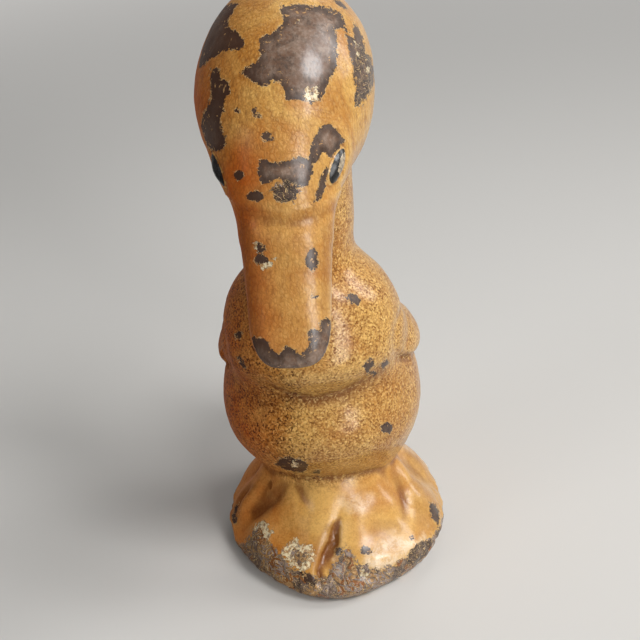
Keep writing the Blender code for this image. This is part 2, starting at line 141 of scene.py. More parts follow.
body = {  # y, height, half width, reach back, reach forwards
    "leg": (0.0004, 0.0080, 0.0058, 0.0062, 0.0050),
    "hip": (0.0004, 0.0127, 0.0107, 0.0106, 0.0088),
    "belly": (0.0002, 0.0208, 0.0133, 0.0132, 0.0136),
    "waist": (0.0002, 0.0278, 0.0122, 0.0122, 0.0115),
    "chest": (-0.0018, 0.0322, 0.0119, 0.0128, 0.0116),
    "shoulder": (-0.0022, 0.0384, 0.0101, 0.0100, 0.0086),
    "collar": (-0.0004, 0.0434, 0.0059, 0.0058, 0.0078),
    "neck": (0.0004, 0.0478, 0.0061, 0.0056, 0.0074),
    "nape": (0.0004, 0.0600, 0.0066, 0.0038, 0.0070),
}


def bodyForm():
    upright = math.radians(-90)
    return sweepForm([(y, z, upright, *sizes) for y, z, *sizes in body.values()])


head = {
    "radius": 0.0103,
    "length": 0.0133,
    "y": -0.0032,
    "height": 0.0652,
    "tilt": 38,
    "brow": (-0.0112, 0.0606, 0.0080, 0.0072, 0.0070),  # y, z, half width, top, chin
}


def headForm():
    turn = Matrix.Rotation(math.radians(head["tilt"]), 3, "X")
    return ballForm((0, head["y"], head["height"]), (head["radius"], head["length"], head["radius"]), turn)


bill = {
    "root": (-0.0158, 0.0556),  # y, z
    "rootTilt": 68,
    "spoonTilt": 54,
    "length": 0.0168,
    "rootSize": (0.0055, 0.0038, 0.0042),  # half width, top, chin
    "midSize": (0.0051, 0.0030, 0.0027),
    "spoonSize": (0.0048, 0.0021, 0.0018),
}


def billForm():
    rootTilt = math.radians(bill["rootTilt"])
    bend = math.radians(bill["spoonTilt"]) - rootTilt
    headTilt = math.radians(head["tilt"])

    def along(share, size, scale=1.0):
        mean = rootTilt + bend * share / 2
        y = bill["root"][0] - bill["length"] * share * math.cos(mean)
        z = bill["root"][1] - bill["length"] * share * math.sin(mean)
        return (y, z, rootTilt + bend * share, *(part * scale for part in size))

    skull = head["radius"]
    return sweepForm([
        (head["y"], head["height"], headTilt, skull * 0.94, skull * 0.94, skull * 0.9),
        (*head["brow"][:2], headTilt, *head["brow"][2:]),
        along(0.0, bill["rootSize"]),
        along(0.4, bill["midSize"]),
        along(0.78, bill["spoonSize"]),
        along(0.93, bill["spoonSize"], 0.8),
        along(1.0, bill["spoonSize"], 0.4),
    ])


tail = {
    "root": (0.0070, 0.0205),
    "tip": (0.0185, 0.0302),
    "rootSize": (0.0084, 0.0120),  # half width, thickness
    "tipSize": (0.0026, 0.0022),
    "curl": 0.0012,
}


def tailForm():
    root, tip = Vector(tail["root"]), Vector(tail["tip"])
    run = tip - root
    slope = math.atan2(run.y, run.x)
    rows = []
    for share in (0.0, 0.3, 0.6, 0.88, 0.97, 1.0):
        sag = tail["curl"] * math.sin(math.pi * share)
        halfWidth = tail["rootSize"][0] + (tail["tipSize"][0] - tail["rootSize"][0]) * share
        half = (tail["rootSize"][1] + (tail["tipSize"][1] - tail["rootSize"][1]) * share) / 2
        end = math.sqrt(max(1 - ((share - 0.88) / 0.13) ** 2, 0.0)) if share > 0.88 else 1.0
        place = root + run * share + Vector((math.sin(slope), -math.cos(slope))) * sag
        rows.append((place.x, place.y, math.pi + slope, halfWidth * end, half * end, half * end))
    return sweepForm(rows)


wing = {
    "root": (0.0106, -0.0066, 0.0311),  # side, y, z
    "tip": (0.0114, 0.0110, 0.0272),
    "width": 0.0082,
    "thickness": 0.0042,
    "taper": 0.25,
    "bend": 0.0140,  # radius of its curve round the flank
    "flare": 28,  # degrees that the lower edge stands off
    "outline": (0.00030, 0.13),  # depth of the groove round it, width as a share of the wing
    "outlineFrom": (0.004, 0.007),  # distance from the mid-plane where it begins
}


def wingFrame(side):
    root = Vector((side * wing["root"][0], *wing["root"][1:]))
    tip = Vector((side * wing["tip"][0], *wing["tip"][1:]))
    along = (tip - root).normalized()
    flare = math.radians(wing["flare"])
    face = Vector((side * math.cos(flare), 0, math.sin(flare)))
    face = (face - along * face.dot(along)).normalized()
    turn = Matrix((face, along, face.cross(along))).transposed()
    return (root + tip) / 2, (wing["thickness"] / 2, (tip - root).length / 2, wing["width"] / 2), turn


def wingForm(side):
    centre, sizes, turn = wingFrame(side)
    made = ballForm(centre, sizes, turn, wing["taper"])
    for vertex in made.verts:
        vertex.co.x -= side * (vertex.co.y - centre.y) ** 2 / (2 * wing["bend"])
    return made


def wingGroove(places, side):
    centre, sizes, turn = wingFrame(side)
    off = places - np.array(centre)
    off[:, 0] += side * off[:, 1] ** 2 / (2 * wing["bend"])
    local = off @ np.array(turn)
    lengthwise = local[:, 1] / sizes[1]
    across = local[:, 2] / (sizes[2] * (1 - wing["taper"] * (lengthwise + 1) / 2))
    depth, width = wing["outline"]
    groove = depth * np.exp(-((np.hypot(lengthwise, across) - 1) / width) ** 2)
    return groove * smoothStep(places[:, 0] * side, *wing["outlineFrom"])


pad = {
    "y": -0.0016,
    "halfWidth": 0.0149,
    "front": 0.0172,
    "back": 0.0160,
    "turn": 16.5,
    "flats": ((18.7, 0.0166), (-56, 0.0159)),  # angle from the pad's own front, reach
    "flatBlend": 18,
    "rimHeight": 0.0019,
    "edgeHeight": 0.0046,
    "soleInset": 0.0010,
    "instepHeight": 0.0122,
    "instepHalfWidth": 0.0086,
    "instepHalfDepth": 0.0084,
    "valleyDepth": 0.0010,
    "valleyAngles": (62, 97),
    "valleySpread": 10,
    "cleftDepth": 0.0020,
    "cleftSpread": 7,
    "cleftLean": 16,  # degrees round the pad, from the rim to the instep
}


def padReach(ahead):
    depth = pad["front"] if abs(ahead) < math.pi / 2 else pad["back"]
    sides = [math.hypot(math.sin(ahead) / pad["halfWidth"], math.cos(ahead) / depth)]
    sides += [max(math.cos(ahead - math.radians(angle)), 0.0) / reach for angle, reach in pad["flats"]]
    return sum(side ** pad["flatBlend"] for side in sides) ** (-1 / pad["flatBlend"])


def valley(angle, middle, spread):
    return math.exp(-(((abs(angle) - math.radians(middle)) / math.radians(spread)) ** 2))


def padForm():
    rim, edge, instep, inset = pad["rimHeight"], pad["edgeHeight"], pad["instepHeight"], pad["soleInset"]
    levels = (  # height, share of the way up to the instep, rim inset, depth of the valleys and of the cleft
        (-rim, 0.0, -2.2 * inset, 0.0, 0.0),
        (0.0, 0.0, -inset, 0.0, 0.0),
        (rim, 0.0, 0.0, 0.1, 0.0),
        (edge, 0.16, 0.0, 0.8, 0.8),
        ((edge + instep) / 2, 0.60, 0.0, 1.2, 0.5),
        (instep, 1.0, 0.0, 0.4, 0.0),
        (instep + edge, 1.2, 0.0, 0.0, 0.0),
    )
    points = 3 * fineness["ringPoints"]
    turned, lean = math.radians(pad["turn"]), math.radians(pad["cleftLean"])
    rings = []
    for z, rise, drawn, depth, parting in easeRows(levels, fineness["steps"]):
        ring = []
        for k in range(points):
            turn = 2 * math.pi * k / points
            ahead = math.atan2(math.cos(turn), -math.sin(turn))
            out = Matrix.Rotation(turned, 3, "Z") @ Vector((math.sin(ahead), -math.cos(ahead), 0))
            top = 1 / math.hypot(out.x / pad["instepHalfWidth"], out.y / pad["instepHalfDepth"])
            square = ahead + turned
            cut = sum(valley(square, angle, pad["valleySpread"]) for angle in pad["valleyAngles"])
            notch = valley(square - lean * rise, 0, pad["cleftSpread"])
            cut = cut * pad["valleyDepth"] * depth + notch * pad["cleftDepth"] * parting
            reach = padReach(ahead) * (1 - rise) + top * rise + drawn - cut
            ring.append(Vector((0, pad["y"], z)) + out * reach)
        rings.append(ring)
    return skinOver(rings)


def placed(name, data):
    made = bpy.data.objects.new(name, data)
    bpy.context.scene.collection.objects.link(made)
    return made


def objectFrom(name, meshes):
    whole = bmesh.new()
    for mesh in meshes:
        held = bpy.data.meshes.new("form")
        mesh.to_mesh(held)
        mesh.free()
        whole.from_mesh(held)
        bpy.data.meshes.remove(held)
    data = bpy.data.meshes.new(name)
    whole.to_mesh(data)
    whole.free()
    return placed(name, data)


def keepShape(made):
    graph = bpy.context.evaluated_depsgraph_get()
    kept = bpy.data.meshes.new_from_object(made.evaluated_get(graph))
    made.modifiers.clear()
    made.data = kept


def remesh(made, size, passes):
    skin = made.modifiers.new("Skin", "REMESH")
    skin.mode = "VOXEL"
    skin.voxel_size = size
    soft = made.modifiers.new("Soften", "SMOOTH")
    soft.factor = 0.5
    soft.iterations = passes
    keepShape(made)


def duckSkin():
    made = objectFrom("duckSkin", [bodyForm(), headForm(), billForm(), tailForm()])
    remesh(made, fineness["coarse"], fineness["fillets"])
    finer = made.modifiers.new("Finer", "SUBSURF")
    finer.levels = finer.render_levels = 1
    keepShape(made)
    trunk = bmesh.new()
    trunk.from_mesh(made.data)
    bpy.data.objects.remove(made)
    made = objectFrom("duckSkin", [trunk, padForm(), wingForm(1), wingForm(-1)])
    remesh(made, fineness["fine"], fineness["joints"])
    return made


# The photograph's camera, in the figure's frame
def cameraMatrix():
    around, down, roll = (math.radians(photoCamera[key]) for key in ("azimuth", "pitch", "roll"))
    back = (math.sin(around) * math.cos(down), -math.cos(around) * math.cos(down), math.sin(down))
    back = Vector(back)
    level = Vector((math.cos(around), math.sin(around), 0))
    upright = back.cross(level)
    right = level * math.cos(roll) + upright * math.sin(roll)
    up = upright * math.cos(roll) - level * math.sin(roll)
    made = Matrix((right, up, back)).transposed().to_4x4()
    made.translation = Vector(photoCamera["target"]) + back * photoCamera["distance"]
    return made


eyePoint = cameraMatrix()
middle = photoCamera["pixels"] / 2
reachInPixels = photoCamera["lens"] / photoCamera["sensor"] * photoCamera["pixels"]


def pixelRay(x, y):
    local = Vector(((x - middle) / reachInPixels, (middle - y) / reachInPixels, -1))
    return (eyePoint.to_3x3() @ local).normalized()


def pixelsOf(places):
    local = (places - np.array(eyePoint.translation)) @ np.array(eyePoint.to_3x3())
    across, down = -local[:, 0] / local[:, 2], local[:, 1] / local[:, 2]
    return middle + reachInPixels * np.stack([across, down], 1)


def layOn(tree, pixels, gap=2.0):
    found = []
    for (x0, y0), (x1, y1) in zip(pixels, pixels[1:]):
        steps = max(int(math.hypot(x1 - x0, y1 - y0) / gap), 1)
        for k in range(steps + 1):
            t = k / steps
            ray = pixelRay(x0 + (x1 - x0) * t, y0 + (y1 - y0) * t)
            hit = tree.ray_cast(eyePoint.translation, ray)[0]
            if hit:
                found.append(hit)
    return np.array(found)


def pressedBy(places, line, width, fade):  # 1 on the line, 0 away from it, dying out towards both ends
    best = np.zeros(len(places))
    for k, point in enumerate(line):
        t = k / max(len(line) - 1, 1)
        strength = smoothStep(np.array(min(t, 1 - t)), -fade * 0.25, fade) if len(line) > 2 else 1.0
        best = np.maximum(best, strength * np.exp(-((places - point) ** 2).sum(1) / width ** 2))
    return best


def insideBy(points, outline):  # signed distance in pixels, above 0 inside
    x, y = points[:, 0], points[:, 1]
    best = np.full(len(points), 1e9)
    inside = np.zeros(len(points), bool)
    for (x0, y0), (x1, y1) in zip(outline, outline[1:] + outline[:1]):
        dx, dy = x1 - x0, y1 - y0
        t = np.clip(((x - x0) * dx + (y - y0) * dy) / (dx * dx + dy * dy), 0, 1)
        best = np.minimum(best, np.hypot(x - x0 - t * dx, y - y0 - t * dy))
        if dy:
            inside ^= ((y0 > y) != (y1 > y)) & (x < x0 + (y - y0) * dx / dy)
    return np.where(inside, best, -best)


def ringOf(x, y, halfWidth, halfHeight, points=10):
    turns = [2 * math.pi * k / points for k in range(points)]
    return tuple((x + halfWidth * math.cos(t), y + halfHeight * math.sin(t)) for t in turns)


def readAll(items, key, width, kind=float):
    values = np.empty(len(items) * width, kind)
    items.foreach_get(key, values)
    return values.reshape(-1, width)


def surfaceOf(data):
    return BVHTree.FromPolygons([v.co for v in data.vertices], [tuple(f.vertices) for f in data.polygons])


def evened(values, pairs, passes):  # evens values out over the surface
    counts = np.bincount(pairs.ravel(), minlength=len(values)).clip(1)
    for _ in range(passes):
        around = np.bincount(pairs[:, 0], values[pairs[:, 1]], len(values))
        around += np.bincount(pairs[:, 1], values[pairs[:, 0]], len(values))
        values = 0.5 * values + 0.5 * around / counts
    return values


def noiseAt(places, size, seed):
    shift = Vector((seed * 7.3, seed * 3.1, seed * 5.7))
    return np.array([noise.noise(Vector(p) / size + shift) for p in places])


relief = {  # width, height and fading ends of each line, and the line by its pixels in the photograph
    "browDip": (0.0011, -0.00035, 0.35, ((240, 211), (262, 221), (290, 225), (316, 219), (335, 207))),
    "chestCrease": (0.0009, -0.00035, 0.35, (
        (247, 366), (266, 383), (292, 395), (318, 400), (345, 394), (370, 379), (386, 362),
    )),
    "chestFold": (0.0004, -0.00025, 0.35, ((300, 399), (318, 402), (335, 399))),
    "rightRidge": (0.0013, 0.00025, 0.15, ((385, 456), (389, 467), (392, 479), (394, 492), (394, 508))),
    "rightGroove": (0.0012, -0.00018, 0.15, ((391, 458), (396, 471), (401, 486), (404, 502), (404, 520))),
    "rightToe": (0.0012, 0.00018, 0.15, ((396, 453), (402, 467), (407, 483), (411, 498), (412, 516))),
    "rightFold": (0.0012, -0.0003, 0.35, ((404, 452), (410, 461), (417, 470), (424, 478))),
    "rightKnob": (0.0014, 0.0003, 0.35, ((416, 493), (423, 500))),
    "leftToe": (0.001, 0.0005, 0.35, ((270, 476), (257, 489), (246, 503), (240, 520))),
    "leftValley": (0.0011, -0.0006, 0.35, ((284, 485), (277, 497), (265, 506), (255, 514), (247, 527))),
    "leftGully": (0.0011, -0.0003, 0.35, ((296, 479), (300, 490), (304, 501), (310, 513))),
    "leftFold": (0.0006, -0.0005, 0.35, ((253, 485), (243, 495), (237, 505), (234, 518))),
    "rightRim": (0.0016, 0.0008, 0.35, ((356, 566), (376, 562), (396, 557), (412, 548), (424, 534))),
    "leftRim": (0.0014, 0.0004, 0.35, ((248, 536), (266, 552), (292, 566))),
    "rightWingUnder": (0.0005, -0.0004, 0.35, ((420, 356), (414, 356), (407, 356), (400, 354))),
    "rightWingLip": (0.0006, 0.0002, 0.35, ((420, 349), (415, 351), (409, 351), (402, 349))),
    "leftWingUnder": (0.0005, -0.0004, 0.35, ((218, 357), (223, 360), (229, 361))),
    "leftWingLip": (0.0007, 0.0004, 0.35, ((217, 349), (221, 353), (227, 354))),
    "web": (0.002, -0.0002, 0.35, ((372, 530), (386, 529), (402, 527))),
    "leftWeb": (0.0022, -0.0003, 0.35, ((275, 528), (295, 538), (312, 545))),
    "cleftSlope": (0.0017, -0.0005, 0.35, ((333, 526), (330, 537), (326, 548), (320, 560))),
    "cleftDeep": (0.0005, -0.0006, 0.2, ((339, 518), (336, 530), (335, 542), (329, 552), (321, 566))),
    "cleftEdge": (0.001, 0.0006, 0.35, ((344, 512), (342, 524), (341, 536), (341, 548), (333, 562))),
    "cleftSeam": (0.0004, -0.0005, 0.35, ((320, 565), (319, 573), (320, 583), (322, 593))),
    "instepPit": (0.0004, -0.0006, 0.35, ((269, 484), (273, 487))),
}
casting = {  # the old casting's small unevenness
    "sway": (  # height, sideways shift
        (0.009, 0), (0.015, -0.00028), (0.040, -0.00028), (0.047, 0), (0.055, 0), (0.060, -0.0003),
        (0.066, -0.0003), (0.071, 0.0001),
    ),
    "billFront": -0.0140,  # the bill doesn't sway
    "billHeights": (0.036, 0.058),
    "waves": ((0.00009, 0.006, 1), (0.00004, 0.0017, 2)),  # height, size, seed
    "rimWaves": ((0.00022, 0.0019, 8), (0.00016, 0.0008, 9)),
    "rimTop": 0.0046,
    "flatBelow": 0.0006,
}
eyes = {  # centre, top, bottom and the painted grey reflection on it, by their pixels in the photograph
    "centre": (341, 166),
    "top": (347, 148),
    "bottom": (334, 184),
    # outline of the painted grey reflection on the eye
    "worn": ((342, 154), (347, 152), (352, 156), (350, 168), (344, 177), (339, 180), (339, 168), (340, 160)),
    "halfWidth": 0.00100,
    "rise": 0.00045,
    "socket": 0.00022,  # depth of the groove round it
    "farShift": 0.0006,  # the other eye sits this much further back
}


def carve(made):
    data = made.data
    places, normals = readAll(data.vertices, "co", 3), readAll(data.vertices, "normal", 3)
    tree = surfaceOf(data)
    push = np.zeros(len(places))
    for width, height, fade, line in relief.values():
        push += height * pressedBy(places, layOn(tree, line), width, fade)
    for height, size, seed in casting["waves"]:
        push += height * noiseAt(places, size, seed)
    push -= wingGroove(places, 1) + wingGroove(places, -1)
    nearRim = smoothStep(casting["rimTop"] - places[:, 2], 0, 0.002)
    push += nearRim * sum(height * noiseAt(places, size, seed) for height, size, seed in casting["rimWaves"])

    # Eyes: a low lens in a fine socket, the same on both sides
    top, centre, bottom = (layOn(tree, (eyes[key], eyes[key]))[0] for key in ("top", "centre", "bottom"))
    length = np.linalg.norm(top - bottom)
    eyeField = np.full(len(places), -9.0)
    for side, shift in ((1, 0), (-1, eyes["farShift"])):
        off = places * np.array((side, 1, 1)) - centre - np.array((0, shift, 0))
        lengthwise = off @ ((top - bottom) / length)
        across = np.sqrt(np.maximum((off ** 2).sum(1) - lengthwise ** 2, 0))
        reach = np.hypot(lengthwise / (length / 2), across / eyes["halfWidth"])
        eyeField = np.maximum(eyeField, (1 - reach) * eyes["halfWidth"] * 1000)
    push += eyes["rise"] * smoothStep(eyeField, -0.1, 0.9)
    push -= eyes["socket"] * np.exp(-((eyeField + 0.15) / 0.18) ** 2)
    push[places[:, 2] < casting["flatBelow"]] = 0

    sway = np.interp(places[:, 2], *zip(*casting["sway"]))
    low, high = casting["billHeights"]
    sway[(places[:, 1] < casting["billFront"]) & (places[:, 2] > low) & (places[:, 2] < high)] = 0
    places = places + normals * push[:, None]
    places[:, 0] += sway
    data.vertices.foreach_set("co", places.astype(np.float32).ravel())
    data.update()
    return eyeField


chips = {  # bare patches of the paint, outlined by their pixels in the photograph
    "crown": (
        (281, 6), (299, 4), (313, 6), (323, 6), (336, 11), (341, 14), (346, 25), (341, 28), (335, 30),
        (337, 46), (336, 60), (333, 74), (327, 84), (324, 93), (321, 99), (312, 104), (303, 100),
        (293, 100), (286, 99), (283, 89), (279, 81), (271, 81), (267, 86), (260, 86), (253, 81), (243, 76),
        (241, 71), (249, 66), (256, 63), (260, 57), (259, 50), (259, 41), (264, 34), (269, 36), (276, 31),
        (279, 26), (284, 23), (284, 17), (281, 11),
    ),
    "crownTop": ((334, -2), (341, 2), (349, 9), (344, 9), (336, 4)),
    "rightBand": (
        (340, 20), (346, 29), (347, 43), (351, 57), (354, 71), (356, 86), (354, 100), (356, 106),
        (361, 103), (366, 96), (371, 91), (374, 80), (374, 69), (371, 57), (366, 53), (364, 43), (360, 31),
        (354, 21), (353, 29), (354, 38), (350, 36), (345, 26),
    ),
    "leftUpper": (
        (199, 69), (207, 61), (216, 56), (224, 50), (231, 50), (240, 50), (244, 46), (243, 39), (237, 31),
        (231, 30), (228, 22), (232, 12), (238, 4), (225, 3), (208, 18), (198, 40), (193, 60),
    ),
    "leftLower": (
        (211, 69), (219, 69), (220, 80), (229, 81), (229, 91), (224, 100), (224, 109), (220, 117),
        (221, 129), (226, 141), (222, 151), (212, 151), (203, 140), (201, 129), (202, 116), (211, 100),
        (211, 89), (210, 77),
    ),
    "aboveEye": (
        (323, 125), (331, 124), (336, 130), (341, 135), (344, 140), (342, 144), (337, 150), (332, 157),
        (329, 155), (323, 151), (321, 155), (317, 161), (311, 163), (309, 158), (310, 150), (311, 142),
        (316, 135),
    ),
    "betweenEyes": (
        (259, 160), (267, 158), (270, 162), (280, 162), (291, 160), (299, 156), (307, 160), (312, 160),
        (313, 170), (311, 178), (309, 184), (302, 187), (295, 185), (286, 183), (275, 180), (271, 182),
        (262, 184), (259, 177), (258, 167),
    ),
    "belowBrow": (
        (274, 188), (286, 184), (296, 187), (298, 193), (294, 201), (285, 203), (275, 201), (272, 195),
    ),
    "streak": (
        (327, 167), (329, 172), (326, 180), (326, 188), (322, 196), (320, 201), (316, 202), (311, 210),
        (315, 199), (317, 190), (321, 180), (323, 171),
    ),
    "nick": ((253, 107), (257, 108), (256, 113), (262, 115), (262, 118), (257, 117), (253, 113)),
    "billLeftUpper": ((257, 242), (266, 247), (267, 250), (264, 254), (257, 252), (256, 246)),
    "billLeftLower": ((255, 254), (261, 255), (269, 260), (271, 266), (266, 269), (260, 266), (255, 261)),
    "billRight": (
        (313, 249), (317, 252), (318, 262), (316, 271), (311, 272), (306, 265), (305, 259), (309, 251),
    ),
    "billTip": (
        (250, 336), (255, 337), (266, 340), (272, 349), (279, 356), (282, 351), (287, 347), (295, 350),
        (301, 355), (306, 350), (311, 342), (306, 336), (308, 331), (313, 329), (319, 330), (321, 322),
        (327, 318), (336, 318), (334, 352), (318, 374), (290, 384), (262, 380), (246, 358),
    ),
    "chestRight": ((346, 296), (353, 294), (361, 300), (359, 305), (350, 303)),
    "chestLow": ((363, 366), (370, 358), (374, 363), (367, 374)),
    "chestLowRight": ((380, 366), (386, 359), (389, 362), (384, 369)),
    "rimFront": (
        (406, 562), (409, 552), (415, 545), (424, 541), (431, 541), (434, 546), (428, 556), (418, 564),
        (410, 567),
    ),
    "slab": ((300, 571), (308, 573), (318, 580), (317, 588), (308, 584), (301, 577)),
    "bellyRight": ((381, 426), (388, 423), (393, 427), (391, 433), (382, 433)),
    "bellyLow": ((274, 464), (283, 457), (303, 460), (309, 465), (303, 474), (284, 470)),
    "leftShoulder": ((235, 333), (241, 331), (243, 337), (237, 339)),
    "leftFlank": ((237, 357), (241, 358), (247, 367), (243, 368)),
    "rimRightSide": ((430, 503), (435, 504), (439, 511), (440, 519), (438, 524), (433, 520), (430, 511)),
    "rimLeftSide": ((236, 505), (240, 501), (242, 505), (238, 513), (236, 522), (232, 527), (230, 516)),
}
scaly = {  # flaked and scaled areas, by their pixels in the photograph
    "feet": (
        (230, 544), (243, 545), (248, 540), (252, 531), (257, 524), (263, 521), (268, 524), (272, 533),
        (269, 541), (276, 550), (283, 557), (290, 566), (300, 571), (312, 573), (318, 578), (323, 579),
        (330, 573), (335, 563), (341, 556), (342, 548), (350, 547), (353, 557), (358, 565), (366, 565),
        (372, 570), (380, 571), (390, 567), (400, 562), (407, 556), (414, 549), (422, 543), (432, 537),
        (438, 529), (442, 521), (450, 530), (446, 560), (400, 610), (330, 630), (260, 610), (222, 570),
    ),
    "brow": (
        (276, 180), (290, 181), (298, 188), (298, 193), (294, 201), (285, 203), (275, 201), (272, 192),
    ),
    "band": (
        (356, 44), (364, 50), (372, 62), (374, 80), (370, 92), (362, 103), (357, 104), (360, 86), (357, 66),
    ),
}
spots = {  # small chips: pixel centre, half sizes in pixels
    "browHigh": (239, 175, 5, 5), "browLow": (256, 196, 9, 5), "headHigh": (237, 111, 3, 2),
    "headLow": (267, 137, 5, 5), "neckLeft": (229, 203, 3, 5), "bellyRing": (317, 473, 4, 3),
    "footRight": (366, 550, 6, 4), "footCleft": (339, 551, 4, 4), "footPimple": (412, 537, 2, 2),
    "billScratch": (314, 297, 4, 1), "chestLow": (374, 373, 5, 2),
}
flakes = {  # pale undercoat that shows at torn edges
    "leftFoot": (
        (281, 553), (284, 547), (289, 545), (291, 539), (295, 537), (299, 540), (302, 546), (306, 544),
        (312, 545), (314, 552), (316, 556), (311, 562), (308, 570), (300, 571), (292, 566), (286, 561),
    ),
    "leftRim": (
        (252, 531), (257, 524), (263, 521), (268, 524), (272, 533), (269, 541), (264, 536), (260, 528),
    ),
    "billChip": ((254, 242), (257, 241), (257, 253), (254, 250)),
    "billEdge": ((270, 262), (275, 259), (272, 266), (263, 271), (257, 264)),
    # cream paint edge, with a painted highlight on it
    "crownEdgeAndHighlight": ((305, 87), (318, 87), (319, 102), (305, 101)),
    "bandFleck1": ((365, 67), (369, 66), (370, 72), (366, 72)),
    "bandFleck2": ((356, 51), (359, 52), (359, 56), (356, 55)),
    "bandFleck3": ((354, 41), (358, 42), (358, 46), (355, 45)),
    "crownFleck": ((295, 20), (299, 20), (299, 23), (296, 23)),
    "bellyFleck": ((292, 463), (296, 462), (298, 466), (293, 467)),
    "rimDisc": ((359, 571), (363, 569), (368, 573), (367, 578), (362, 576)),
}
paleWearAndHighlight = {  # paint rubbed thin over its undercoat, and painted highlight: strength, outline in pixels of the photograph
    # worn thin, with a painted highlight on it
    "rightRim": (0.75, (
        (362, 568), (368, 552), (380, 541), (393, 536), (408, 538), (418, 541), (423, 532), (427, 541),
        (412, 556), (394, 566), (376, 573),
    )),
    # a painted highlight
    "instep": (0.4, ((338, 497), (356, 494), (372, 493), (374, 501), (366, 512), (350, 514), (341, 508))),
}
grime = {  # painted brown shade in the folds and on darker faces: strength, outline in pixels of the photograph
    "cleft": (0.8, ((340, 518), (338, 545), (329, 558), (321, 578), (314, 572), (321, 552), (329, 534))),
    "besideCleft": (0.38, (
        (336, 521), (333, 540), (325, 560), (316, 568), (309, 560), (315, 541), (326, 524),
    )),
    "leftValley": (0.7, (
        (291, 483), (285, 495), (273, 508), (259, 519), (249, 513), (261, 500), (273, 490), (282, 480),
    )),
    "leftFold": (0.7, (
        (257, 486), (245, 496), (239, 508), (237, 524), (230, 520), (231, 505), (239, 492), (250, 483),
    )),
    "gully": (0.55, ((300, 478), (307, 492), (309, 505), (300, 500), (294, 486))),
    "rightGroove": (0.45, (
        (391, 459), (398, 471), (404, 485), (408, 502), (407, 521), (401, 521), (400, 502), (396, 487),
        (390, 473),
    )),
    "web": (0.25, ((372, 520), (406, 520), (408, 532), (392, 536), (376, 538), (368, 544))),
    "underChest": (0.5, (
        (243, 361), (264, 380), (290, 391), (318, 396), (345, 390), (370, 376), (387, 360), (389, 367),
        (371, 386), (346, 403), (318, 407), (290, 403), (262, 391), (240, 369),
    )),
    "flank": (0.4, (
        (228, 348), (241, 370), (257, 390), (281, 402), (277, 411), (249, 404), (230, 382), (223, 356),
    )),
    "behindRidge": (0.45, ((404, 449), (418, 456), (428, 470), (420, 474), (411, 466))),
    "billSide": (0.5, (
        (240, 212), (250, 222), (254, 260), (260, 300), (262, 338), (248, 336), (244, 300), (240, 260),
    )),
    "billRight": (0.36, (
        (323, 226), (336, 218), (336, 262), (333, 300), (328, 318), (320, 310), (322, 270),
    )),
    "footRight": (0.27, (
        (408, 450), (428, 460), (442, 485), (446, 515), (438, 532), (424, 528), (414, 520), (413, 492),
        (408, 470),
    )),
    "brow": (0.35, (
        (236, 204), (262, 215), (290, 219), (316, 213), (335, 202), (336, 210), (316, 223), (290, 228),
        (262, 225), (238, 215),
    )),
}
wear = {
    "pixelsPerMillimetre": 8.0,
    "rimHeight": 3.0,  # mm, how far the bare rim reaches up
    "rimSwing": 1.3,
    "rimLimit": 0.012,
    "headPatches": 0.30,  # lower bares more of the head's far side
    "bodyPatches": 0.74,
    "outerPatches": -0.9,  # change of both on the wings and the tail
    "patchSize": 0.0055,
    "patchNoise": ((1.0, 1.0, 3), (0.4, 0.45, 4), (0.15, 0.2, 5)),  # share of that size, strength, seed
    "patchSlope": 2.2,
    "facingFrom": (0.03, 0.25),  # cosine of the angle at which the photograph shows a surface
    "billFrom": (0.0145, 0.0165),  # forwards
    "billBottom": 0.036,
    "headFrom": (0.054, 0.062),
    "feetTop": 0.0138,
    "wingFrom": (0.0134, 0.0146),
    "wingBottom": 0.018,
    "tailFrom": (0.0165, 0.0185),
    "crownFrom": (0.052, 0.058),  # upwards
    "sheenFrom": (-0.005, 0.0015),  # sideways, towards the key lamp
    "shadedFrom": (0.001, 0.011),  # sideways, away from it
    "stain": (0.95, 0.6175),  # painted shade: on the shaded side, on its foot
    "billShadedSideTint": (0.16, 0.94),  # painted shade on the bill: on the lit side, on the shaded side
    "streaks": {"head": 0.40, "bill": 0.30, "litBody": 0.10, "shadedBody": 0.32},
    "feetGrain": 0.20,
}


def marked(pixels, outlines):  # depth inside the nearest outline, in mm
    depths = [insideBy(pixels, outline) for outline in outlines]
    return np.clip(np.max(depths, axis=0) / wear["pixelsPerMillimetre"], -3, 3)


def softly(pixels, outlines, soft):  # strength of the outlines, with soft edges
    inside = [share * smoothStep(insideBy(pixels, line), -soft, soft) for share, line in outlines.values()]
    return np.max(inside, axis=0)


def seenShare(data, places, normals, pairs):  # 1 where the photograph shows the surface
    toward = np.array(eyePoint.translation) - places
    distance = np.linalg.norm(toward, axis=1)
    toward /= distance[:, None]
    facing = (toward * normals).sum(1)
    tree = surfaceOf(data)
    seen = np.zeros(len(places))
    for k in np.nonzero(facing > wear["facingFrom"][0])[0]:
        start = Vector(places[k] + normals[k] * 0.0002)
        seen[k] = tree.ray_cast(start, Vector(toward[k]), float(distance[k]))[0] is None
    return evened(seen * smoothStep(facing, *wear["facingFrom"]), pairs, 6)


